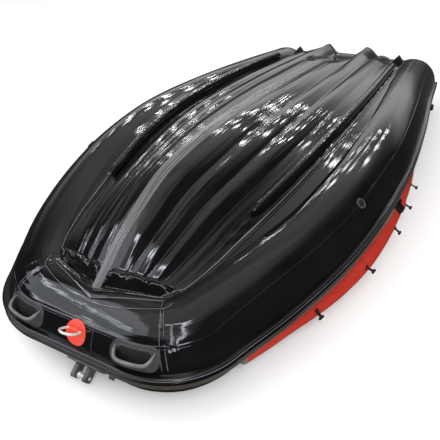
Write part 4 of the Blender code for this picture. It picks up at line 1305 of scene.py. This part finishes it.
patch_layers = ((0.0, -0.0010), (0.0, PATCH_T * 0.6), (0.0008, PATCH_T), (0.0030, PATCH_T * 1.06))
patch = pad_mesh("tow_patch_cloth", oval(PATCH_HALF_W, PATCH_HALF_H), patch_layers, on_patch)
place_piece("tow_patch_cloth", patch, patch_red, replaced=("tow_patch",))
fold_layers = ((0.0, 0.0), (0.0, WEBBING_T * 0.55), (0.0016, WEBBING_T * 0.80), (0.0042, WEBBING_T * 0.95),
               (0.0075, WEBBING_T))
fold = pad_mesh("webbing_fold", round_rect(WEBBING_HALF_W, WEBBING_HALF_H, 0.009), fold_layers, on_webbing)
place_piece("webbing_fold", fold, patch_red, replaced=("tow_webbing",))

ring_at, ring_ray = on_bow(0.0, FRONT_ANGLE + WEBBING_UP / TUBE_R, WEBBING_FOOT + WEBBING_T / 2)
ring_frame = basis(ring_at, ACROSS, ring_ray)
half_ring = [(RING_WAIST * i / 4, 0.0) for i in range(5)]
half_ring += [(RING_WAIST + (RING_HALF - RING_WAIST) * math.sin(math.radians(a)),
               RING_KNEE * (1 - math.cos(math.radians(a)))) for a in (25, 50, 72, 90)]
half_ring += [(RING_HALF, RING_SHOULDER)]
for turn in (math.radians(a) for a in range(9, 91, 9)):
    rise = (RING_REACH - RING_SHOULDER) * math.sin(turn)
    half_ring.append((RING_HALF * math.cos(turn), RING_SHOULDER + rise))
loop = [Vector((x, 0.0, out)) for x, out in half_ring]
loop += [Vector((-p.x, 0.0, p.z)) for p in loop[-2:0:-1]]
ring = rod_mesh("steel_tow_ring", [ring_frame @ p for p in loop], RING_ROD, 16, closed=True)
place_piece("steel_tow_ring", ring, steel, "ring", replaced=("tow_ring",))

# Anchor bracket and roller
# A moulded plastic bracket glued low on the bow, with two thick cheeks and a steel pin. A grooved roller
# for the anchor line turns on the pin.
ROLLER_ANGLE = math.radians(-36.0)
ROLLER_R = 0.016
ROLLER_HALF = 0.018
PIN_R = 0.005
PIN_OUT = 0.052
BRACKET_HALF_W = 0.100
BRACKET_HALF_H = 0.035
CHEEK_X = 0.034
CHEEK_HALF_T = 0.011
CHEEK_HALF_H = 0.026
CHEEK_FOOT = 0.004
CHEEK_OUT = 0.074
CHEEK_CORNER = 0.012


def turned_mesh(name, profile, place, steps=48, flutes=0):
    """Turned piece from a profile of radius and height, with a wavy outside if it has flutes."""
    rows, lays = [], []
    for radius, height in profile:
        row = []
        for k in range(steps):
            turn = 2 * math.pi * k / steps
            wide = radius * (1 - (0.022 + 0.022 * math.cos(flutes * turn) if flutes else 0.0))
            row.append(place @ Vector((wide * math.cos(turn), wide * math.sin(turn), height)))
        rows.append(row)
        lays.append([(2 * math.pi * k / steps * radius, height, radius) for k in range(steps)])
    return sheet_mesh(name, rows, lays, around=True, capped=True)


anchor_plastic = rubber_finish("anchor_plastic", (0.040, 0.038, 0.042), (0.085, 0.080, 0.088), (0.22, 0.36))
bracket_at, bracket_ray = on_bow(0.0, ROLLER_ANGLE, 0.0)
bracket_frame = basis(bracket_at, ACROSS, bracket_ray)
SIDEWAYS = Matrix.Rotation(math.pi / 2, 4, "Y")


def on_bracket(x, y, above):
    return on_bow(x, ROLLER_ANGLE + y / TUBE_R, above)[0]


bracket_layers = ((0.0, -0.0030), (0.0, 0.0055), (0.0010, 0.0074), (0.0030, 0.0080), (0.0080, 0.0080))
bracket_outline = round_rect(BRACKET_HALF_W, BRACKET_HALF_H, 0.015)
bracket_meshes = [pad_mesh("bracket", bracket_outline, bracket_layers, on_bracket)]
for x in (CHEEK_X, -CHEEK_X):
    cheek_mid = (CHEEK_FOOT + CHEEK_OUT) / 2

    def on_cheek(out, up, across):
        return bracket_frame @ Vector((x + across, up, cheek_mid + out))

    t = CHEEK_HALF_T
    cheek_layers = ((0.0030, -t), (0.0010, 0.0008 - t), (0.0, 0.0030 - t), (0.0, t - 0.0030),
                    (0.0010, t - 0.0008), (0.0030, t))
    cheek_outline = round_rect((CHEEK_OUT - CHEEK_FOOT) / 2, CHEEK_HALF_H, CHEEK_CORNER)
    bracket_meshes.append(pad_mesh("cheek", cheek_outline, cheek_layers, on_cheek))
name = "anchor_bracket_moulding"
bracket = joined(name, bracket_meshes)
place_piece(name, bracket, anchor_plastic, replaced=("anchor_bracket",))
pin_frame = bracket_frame @ Matrix.Translation((0.0, 0.0, PIN_OUT)) @ SIDEWAYS
pin_half = CHEEK_X + CHEEK_HALF_T
pin_meshes = [turned_mesh("pin", ((PIN_R, -pin_half), (PIN_R, pin_half)), pin_frame, 24)]
for end in (-1, 1):
    head = [(0.0085, end * pin_half), (0.0085, end * (pin_half + 0.0030)),
            (0.0060, end * (pin_half + 0.0042))]
    pin_meshes.append(turned_mesh("head", head, pin_frame, 6))
place_piece("roller_pin", joined("roller_pin", pin_meshes), steel)
h, r = ROLLER_HALF, ROLLER_R
roller_profile = ((0.0065, -h), (r - 0.0015, -h), (r, 0.0015 - h), (r, 0.006 - h), (r - 0.0032, 0.010 - h),
                  (r - 0.0045, 0.0), (r - 0.0032, h - 0.010), (r, h - 0.006), (r, h - 0.0015),
                  (r - 0.0015, h), (0.0065, h))
roller = turned_mesh("grooved_roller", roller_profile, pin_frame)
place_piece("grooved_roller", roller, steel, "roller", replaced=("anchor_roller",))
STUD_X = 0.150


def on_stud(x, y, above):
    """Place over the small moulded stud beside the bracket."""
    return on_bow(STUD_X + x, ROLLER_ANGLE + y / TUBE_R, above)[0]


stud_layers = ((0.0, -0.0030), (0.0, 0.0050), (0.0020, 0.0070), (0.0025, 0.0140), (0.0045, 0.0160))
stud = pad_mesh("line_stud", round_rect(0.016, 0.010, 0.008), stud_layers, on_stud)
place_piece("line_stud", stud, anchor_plastic)

# Air valves
# Moulded black valves set into each side tube, with a screw cap and a pale sealing ring round it.
VALVE_Y = 1.242
VALVE_ANGLE = math.radians(47.4)
VALVE_PROFILE = ((0.0270, -0.0060), (0.0280, 0.0020), (0.0270, 0.0046), (0.0250, 0.0058), (0.0222, 0.0056),
                 (0.0212, 0.0030), (0.0196, 0.0030), (0.0188, 0.0052), (0.0170, 0.0062), (0.0085, 0.0064),
                 (0.0078, 0.0050), (0.0010, 0.0050))
SEAL_R = 0.0236
SEAL_ROD = 0.0017


def mirrored(mesh, side):
    """The mesh as made for starboard, or turned over for port."""
    if side < 0:
        mesh.transform(Matrix.Diagonal((-1.0, 1.0, 1.0, 1.0)))
    return mesh


valve_plastic = rubber_finish("valve_plastic", (0.010, 0.010, 0.010), (0.020, 0.020, 0.021), (0.26, 0.40))
seal_plastic = rubber_finish("seal_plastic", (0.070, 0.070, 0.074), (0.130, 0.130, 0.136), (0.14, 0.24))
for label, side in SIDES:
    valve_at, valve_ray, valve_along = side_at(VALVE_Y, VALVE_ANGLE, TUBE_R)
    valve_frame = basis(valve_at, valve_along, valve_ray)
    valve = mirrored(turned_mesh("valve", VALVE_PROFILE, valve_frame, 64), side)
    name = label + "_valve_body"
    place_piece(name, valve, valve_plastic, replaced=(label + "_air_valve",))
    seal_path = []
    for t in round_turns(48):
        seal_path.append(valve_frame @ Vector((SEAL_R * math.cos(t), SEAL_R * math.sin(t), 0.0056)))
    seal = mirrored(rod_mesh("seal", seal_path, SEAL_ROD, 8, closed=True), side)
    place_piece(label + "_valve_seal", seal, seal_plastic)

# Lift loops
# Short moulded rubber straps on the strakes near the stern, each arched over two glued feet.
LIFT_LOOP_Y = 3.144
LIFT_LOOP_ANGLE = math.radians(-1.5)
LIFT_LOOP_HALF = 0.040
LIFT_LOOP_HALF_W = 0.0165
LIFT_LOOP_RISE = 0.0170
LIFT_LOOP_HALF_T = 0.0026


def strap_mesh(name, path, across, half_width, half_thick, sides=16):
    """Flat strap with rounded edges along a path. Its width lies along one direction."""
    rows, lays = [], []
    for i, point in enumerate(path):
        along = (path[min(i + 1, len(path) - 1)] - path[max(i - 1, 0)]).normalized()
        flat = (across - along * across.dot(along)).normalized()
        normal = along.cross(flat)
        row, lay = [], []
        for k in range(sides):
            c, s = math.cos(2 * math.pi * k / sides), math.sin(2 * math.pi * k / sides)
            wide = half_width * math.copysign(abs(c) ** 0.45, c)
            row.append(point + flat * wide + normal * half_thick * math.copysign(abs(s) ** 0.75, s))
            lay.append((i * 0.004, wide, 0.0))
        rows.append(row)
        lays.append(lay)
    return sheet_mesh(name, rows, lays, around=True, capped=True)


black_rubber = rubber_finish("black_rubber", (0.007, 0.007, 0.007), (0.015, 0.015, 0.015), (0.30, 0.46))
for label, side in SIDES:
    loop_at, loop_ray, loop_along = side_at(LIFT_LOOP_Y, LIFT_LOOP_ANGLE, STRAKE_FACE + STRAKE_OUT)
    loop_frame = basis(loop_at, loop_along, loop_ray)
    arch = []
    for k in range(33):
        u = 2 * k / 32 - 1
        rise = 0.0020 + (LIFT_LOOP_RISE - 0.0020) * (1 - abs(u) ** 5)
        arch.append(loop_frame @ Vector((u * (LIFT_LOOP_HALF - 0.001), 0.0, rise)))
    wide = loop_frame.to_3x3() @ Vector((0.0, 1.0, 0.0))
    loop_meshes = [strap_mesh("strap", arch, wide, LIFT_LOOP_HALF_W, LIFT_LOOP_HALF_T)]
    for end in (-1, 1):

        def on_loop_foot(x, y, above):
            return loop_frame @ Vector((end * 0.030 + x, y, above))

        foot_layers = ((0.0, -0.0030), (0.0, 0.0035), (0.0012, 0.0055), (0.0030, 0.0060))
        foot_outline = round_rect(0.0098, LIFT_LOOP_HALF_W, 0.005)
        loop_meshes.append(pad_mesh("foot", foot_outline, foot_layers, on_loop_foot))
    name = label + "_lift_strap"
    loop_mesh = mirrored(joined(name, loop_meshes), side)
    place_piece(name, loop_mesh, black_rubber, replaced=(label + "_lift_loop",))

# Rowlocks
# A moulded rubber socket glued to each bolster, and in it a fluted barrel of moulded plastic that turns
# with its red cap.
ROWLOCK_Y = 1.715
ROWLOCK_ANGLE = math.radians(46.0)
SOCKET_LAYERS = ((0.0, -0.0280), (0.0, 0.0080), (0.0014, 0.0110), (0.0036, 0.0120), (0.0085, 0.0120),
                 (0.0100, 0.0106), (0.0130, 0.0106))
BARREL_PROFILE = ((0.0200, 0.0126), (0.0220, 0.0142), (0.0220, 0.0280), (0.0204, 0.0298), (0.0172, 0.0302),
                  (0.0010, 0.0302))
CAP_PROFILE = ((0.0148, 0.0306), (0.0160, 0.0316), (0.0160, 0.0340), (0.0150, 0.0353), (0.0105, 0.0355),
               (0.0096, 0.0344), (0.0010, 0.0344))
red_plastic = rubber_finish("red_plastic", (0.420, 0.016, 0.012), (0.520, 0.026, 0.018), (0.28, 0.36))
for label, side in SIDES:
    lock_at, lock_ray, lock_along = bolster_at(ROWLOCK_Y, ROWLOCK_ANGLE)
    lock_frame = basis(lock_at, lock_along, lock_ray)

    def on_socket(x, y, above):
        return lock_frame @ Vector((x, y, above))

    socket = mirrored(pad_mesh("socket", round_rect(0.0535, 0.038, 0.030), SOCKET_LAYERS, on_socket), side)
    socket_name = label + "_rowlock_base"
    place_piece(socket_name, socket, black_rubber, replaced=(label + "_rowlock_socket",))
    barrel = mirrored(turned_mesh("barrel", BARREL_PROFILE, lock_frame, 80, 10), side)
    place_piece(label + "_rowlock_knob", barrel, black_rubber, label + "_rowlock",
                (label + "_rowlock_barrel",))
    cap = mirrored(turned_mesh("cap", CAP_PROFILE, lock_frame, 48), side)
    place_piece(label + "_rowlock_lid", cap, red_plastic, label + "_rowlock",
                (label + "_rowlock_cap",))

# Cover toggles
# Moulded rubber toggles along each bolster hold the spray cover. Each is a glued button with a flat strap
# and a cross bar.
# Columns: y aft, angle of the root round the bolster, angle that the strap leans at
TOGGLES = (
    (0.804, 26, -50),
    (1.172, 15, -15),
    (1.581, -13, -40),
    (1.830, -6, -25),
    (2.080, -1, -25),
)
TOGGLE_LENGTH = 0.040
TOGGLE_BAR_HALF = 0.017
TOGGLE_BAR_RADII = [0.0040, 0.0068, 0.0080, 0.0072, 0.0064, 0.0072, 0.0080, 0.0068, 0.0040]
BUTTON_PROFILE = ((0.0120, -0.0040), (0.0120, 0.0016), (0.0105, 0.0034), (0.0060, 0.0047), (0.0010, 0.0050))
for label, side in SIDES:
    for number, (y, root_angle, lean_angle) in enumerate(TOGGLES, 1):
        at, root, along = bolster_at(y, math.radians(root_angle))
        lean = side_at(y, math.radians(lean_angle), 1.0)[1]
        button = turned_mesh("button", BUTTON_PROFILE, basis(at, along, root), 32)
        strap_path = [at + lean * (TOGGLE_LENGTH * k / 8) for k in range(9)]
        strap = strap_mesh("strap", strap_path, along, 0.0080, 0.0030)
        end = at + lean * TOGGLE_LENGTH
        steps = len(TOGGLE_BAR_RADII) - 1
        bar_path = [end + along * (TOGGLE_BAR_HALF * (2 * k / steps - 1)) for k in range(steps + 1)]
        bar = rod_mesh("bar", bar_path, TOGGLE_BAR_RADII, 16)
        name = "%s_cover_toggle_%d" % (label, number)
        mesh = mirrored(joined(name, [button, strap, bar]), side)
        solid = "%s_toggle_%d" % (label, number)
        place_piece(name, mesh, black_rubber, replaced=(solid,))

# Transom
# A raked board of black-faced plywood behind the bottom, with moulded motor plates bolted to both faces,
# rubber knees that bind it to the tubes, and a screwed drain. Its edges are rounded over.
TRANSOM_T = 0.040
TRANSOM_GAP = 0.00075
DRAIN_X = 0.300
DRAIN_Z = 0.660
PLATE_Z = 0.500
PLATE_HALF = (0.135, 0.075)
KNEE_X = 0.490
KNEE_Z = 0.570
KNEE_T = 0.060
DRAIN_PROFILE = ((0.0320, 0.0000), (0.0320, 0.0060), (0.0300, 0.0085), (0.0230, 0.0090), (0.0215, 0.0070),
                 (0.0195, 0.0070), (0.0185, 0.0110), (0.0160, 0.0120), (0.0060, 0.0120), (0.0050, 0.0100),
                 (0.0010, 0.0100))
BOLT_PROFILE = ((0.0100, -0.0010), (0.0100, 0.0012), (0.0070, 0.0016), (0.0070, 0.0052), (0.0050, 0.0064),
                (0.0010, 0.0066))


def on_board(x, z, depth):
    """Frame behind the board at a place across, a height and a depth aft of the bottom's end."""
    off = Vector((0.0, 1.0, TRANSOM_RAKE)).normalized()
    y = BOTTOM_END + TRANSOM_GAP - (z - TUNNEL_FLOOR_Z) * TRANSOM_RAKE
    return basis(Vector((x, y, z)) + off * depth, ACROSS, off)


def finish_node(name, finish, rounded):
    """Give a piece that stays as made its finish and rounded edges."""
    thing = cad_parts[name]
    if not thing.material_slots:
        thing.data.materials.append(finish)
    for slot in thing.material_slots:
        slot.material = finish
    edges = thing.modifiers.new("rounded edges", "BEVEL")
    edges.width = rounded
    edges.segments = 3
    edges.limit_method = "ANGLE"
    edges.angle_limit = math.radians(40.0)


board = rubber_finish("coated_board", (0.009, 0.009, 0.009), (0.020, 0.019, 0.018), (0.34, 0.50))
finish_node("transom", board, 0.004)
finish_node("outboard_plate_outer", moulded_grey, 0.002)
finish_node("outboard_plate_inner", moulded_grey, 0.002)
finish_node("starboard_transom_knee", black_rubber, 0.005)
finish_node("port_transom_knee", black_rubber, 0.005)
drain = turned_mesh("drain_fitting", DRAIN_PROFILE, on_board(DRAIN_X, DRAIN_Z, TRANSOM_T))
place_piece("drain_fitting", drain, moulded_grey, replaced=("drain_valve",))
bolts = []
for sx in (-1, 1):
    for sz in (-1, 1):
        at = on_board(sx * PLATE_HALF[0], PLATE_Z + sz * PLATE_HALF[1], TRANSOM_T + 0.0083)
        bolts.append(turned_mesh("bolt", BOLT_PROFILE, at, 6))
        at = on_board(sx * KNEE_X, KNEE_Z + sz * 0.090, TRANSOM_T + KNEE_T)
        bolts.append(turned_mesh("bolt", BOLT_PROFILE, at, 6))
place_piece("transom_bolts", joined("transom_bolts", bolts), steel)

# Floor, light and camera
# The boat lies bottom up on a plain pale floor under soft light, with rows of small ceiling lamps that
# show in the glossy cloth, and the camera stands to starboard of the bow, looking down its length.
FLOOR_HALF = 40.0
EYE = Vector((1.342, -1.047, 1.907))
YAW, PITCH, ROLL = (math.radians(a) for a in (29.56, 31.22, -1.42))
FOCAL_PX = 492.5
FRAME_PX = 440.0
SENSOR = 36.0

floor_mesh = bpy.data.meshes.new("floor")
h = FLOOR_HALF
floor_mesh.from_pydata([(-h, -h, 0.0), (h, -h, 0.0), (h, h, 0.0), (-h, h, 0.0)], [], [(0, 1, 2, 3)])
floor = bpy.data.objects.new("floor", floor_mesh)
floor_finish, floor_shader = new_finish("pale_floor")
floor_shader.inputs["Base Color"].default_value = (0.90, 0.90, 0.90, 1.0)
floor_shader.inputs["Roughness"].default_value = 0.9
floor_mesh.materials.append(floor_finish)
bpy.context.scene.collection.objects.link(floor)
floor.visible_glossy = False

# Brightness that glossy surfaces see towards the stern, columns: rise of the direction, brightness
HALL_RAMP = (
    (0.00, 0.05),
    (0.09, 0.20),
    (0.17, 1.05),
    (0.27, 1.20),
    (0.35, 0.64),
    (0.42, 0.36),
    (0.52, 0.36),
    (0.66, 0.85),
    (0.85, 0.90),
    (1.00, 0.75),
)
HALL_DARK = 0.022
AROUND = 1.06

world = bpy.data.worlds.new("studio")
bpy.context.scene.world = world
world.use_nodes = True
toward = add_node(world, "TexCoord", {}).outputs["Generated"]
axes = add_node(world, "SeparateXYZ", {"Vector": toward}).outputs
aft = add_node(world, "MapRange", {"Value": axes["Y"], "From Min": 0.15, "From Max": 0.75}).outputs["Result"]
port = add_node(world, "MapRange", {"Value": axes["X"], "From Min": 0.42, "From Max": 0.05}).outputs["Result"]
hall = add_node(world, "ValToRGB", {"Fac": axes["Z"]})
hall.color_ramp.elements.remove(hall.color_ramp.elements[1])
hall.color_ramp.elements[0].position = HALL_RAMP[0][0]
hall.color_ramp.elements[0].color = (HALL_RAMP[0][1],) * 3 + (1.0,)
for position, value in HALL_RAMP[1:]:
    hall.color_ramp.elements.new(position).color = (value, value, value, 1.0)
overhead_range = {"Value": axes["Z"], "From Min": 0.74, "From Max": 0.88}
overhead = add_node(world, "MapRange", overhead_range).outputs["Result"]
above = add_node(world, "Math", {0: aft, 1: overhead}, operation="MAXIMUM").outputs["Value"]
sector = add_node(world, "Math", {0: above, 1: port}, operation="MULTIPLY").outputs["Value"]
seen = add_node(world, "Math", {0: sector, 1: hall.outputs["Color"], 2: HALL_DARK}, operation="MULTIPLY_ADD")
glossy_ray = add_node(world, "LightPath", {}).outputs["Is Glossy Ray"]
strength = add_node(
    world, "MapRange", {"Value": glossy_ray, "To Min": AROUND, "To Max": seen.outputs["Value"]}
).outputs["Result"]
background = world.node_tree.nodes["Background"]
background.inputs["Color"].default_value = (1.0, 1.0, 1.0, 1.0)
world.node_tree.links.new(strength, background.inputs["Strength"])
bpy.context.scene.view_settings.view_transform = "Standard"


def lamp(name, place, aim, size, power, glossy=True, diffuse=True, colour=(1.0, 1.0, 1.0)):
    """Rectangular lamp that points at a place."""
    data = bpy.data.lights.new(name, "AREA")
    data.shape = "RECTANGLE"
    data.size, data.size_y = size
    data.energy = power
    data.color = colour
    thing = bpy.data.objects.new(name, data)
    thing.location = place
    thing.rotation_mode = "QUATERNION"
    thing.rotation_quaternion = (Vector(aim) - Vector(place)).to_track_quat("-Z", "Y")
    thing.visible_camera = False
    thing.visible_glossy = glossy
    thing.visible_diffuse = diffuse
    bpy.context.scene.collection.objects.link(thing)


lamp("soft_key", (3.5, -4.5, 5.0), (0.0, 0.0, 0.3), (4.0, 4.0), 260.0, glossy=False)
lamp("soft_fill", (-5.0, -1.0, 4.0), (0.0, 0.0, 0.3), (4.0, 4.0), 120.0, glossy=False)
COOL = (0.88, 0.93, 1.0)
lamp("bow_panel", (-2.5, -3.3, 3.3), (0.0, -1.9, 0.4), (3.6, 3.2), 70.0, diffuse=False, colour=COOL)
lamp("bow_strip", (-2.64, -2.77, 3.43), (-0.18, -1.07, 0.4), (3.2, 0.09), 16.0, diffuse=False, colour=COOL)
lamp("front_strip", (-1.62, -3.95, 1.72), (0.0, -1.9, 0.5), (2.2, 0.10), 7.0, diffuse=False, colour=COOL)
lamp("corner_strip", (1.06, -3.40, 2.96), (0.43, -1.93, 0.47), (0.20, 3.0), 22.0, diffuse=False, colour=COOL)
lamp("fold_strip", (0.05, -2.60, 4.30), (0.1, -1.7, 0.5), (1.3, 0.26), 18.0, diffuse=False, colour=COOL)
for row in range(4):
    for number in range(7):
        at = (-9.0 + 1.7 * number, 4.7 + 1.4 * row, 4.6)
        name = "ceiling_lamp_%d_%d" % (row + 1, number + 1)
        lamp(name, at, (at[0], at[1], 0.0), (0.50, 0.16), 15.0, diffuse=False)

camera_data = bpy.data.cameras.new("camera")
camera_data.sensor_width = SENSOR
camera_data.lens = FOCAL_PX / FRAME_PX * SENSOR
camera = bpy.data.objects.new("camera", camera_data)
bpy.context.scene.collection.objects.link(camera)
forward = Vector((-math.sin(YAW) * math.cos(PITCH), math.cos(YAW) * math.cos(PITCH), -math.sin(PITCH)))
right = Vector((math.cos(YAW), math.sin(YAW), 0.0))
upward = right.cross(forward)
rolled_right = right * math.cos(ROLL) + upward * math.sin(ROLL)
rolled_up = upward * math.cos(ROLL) - right * math.sin(ROLL)
level = Matrix((rolled_right, rolled_up, -forward)).transposed().to_4x4()
camera.matrix_world = STANCE @ Matrix.Translation(EYE) @ level
bpy.context.scene.camera = camera
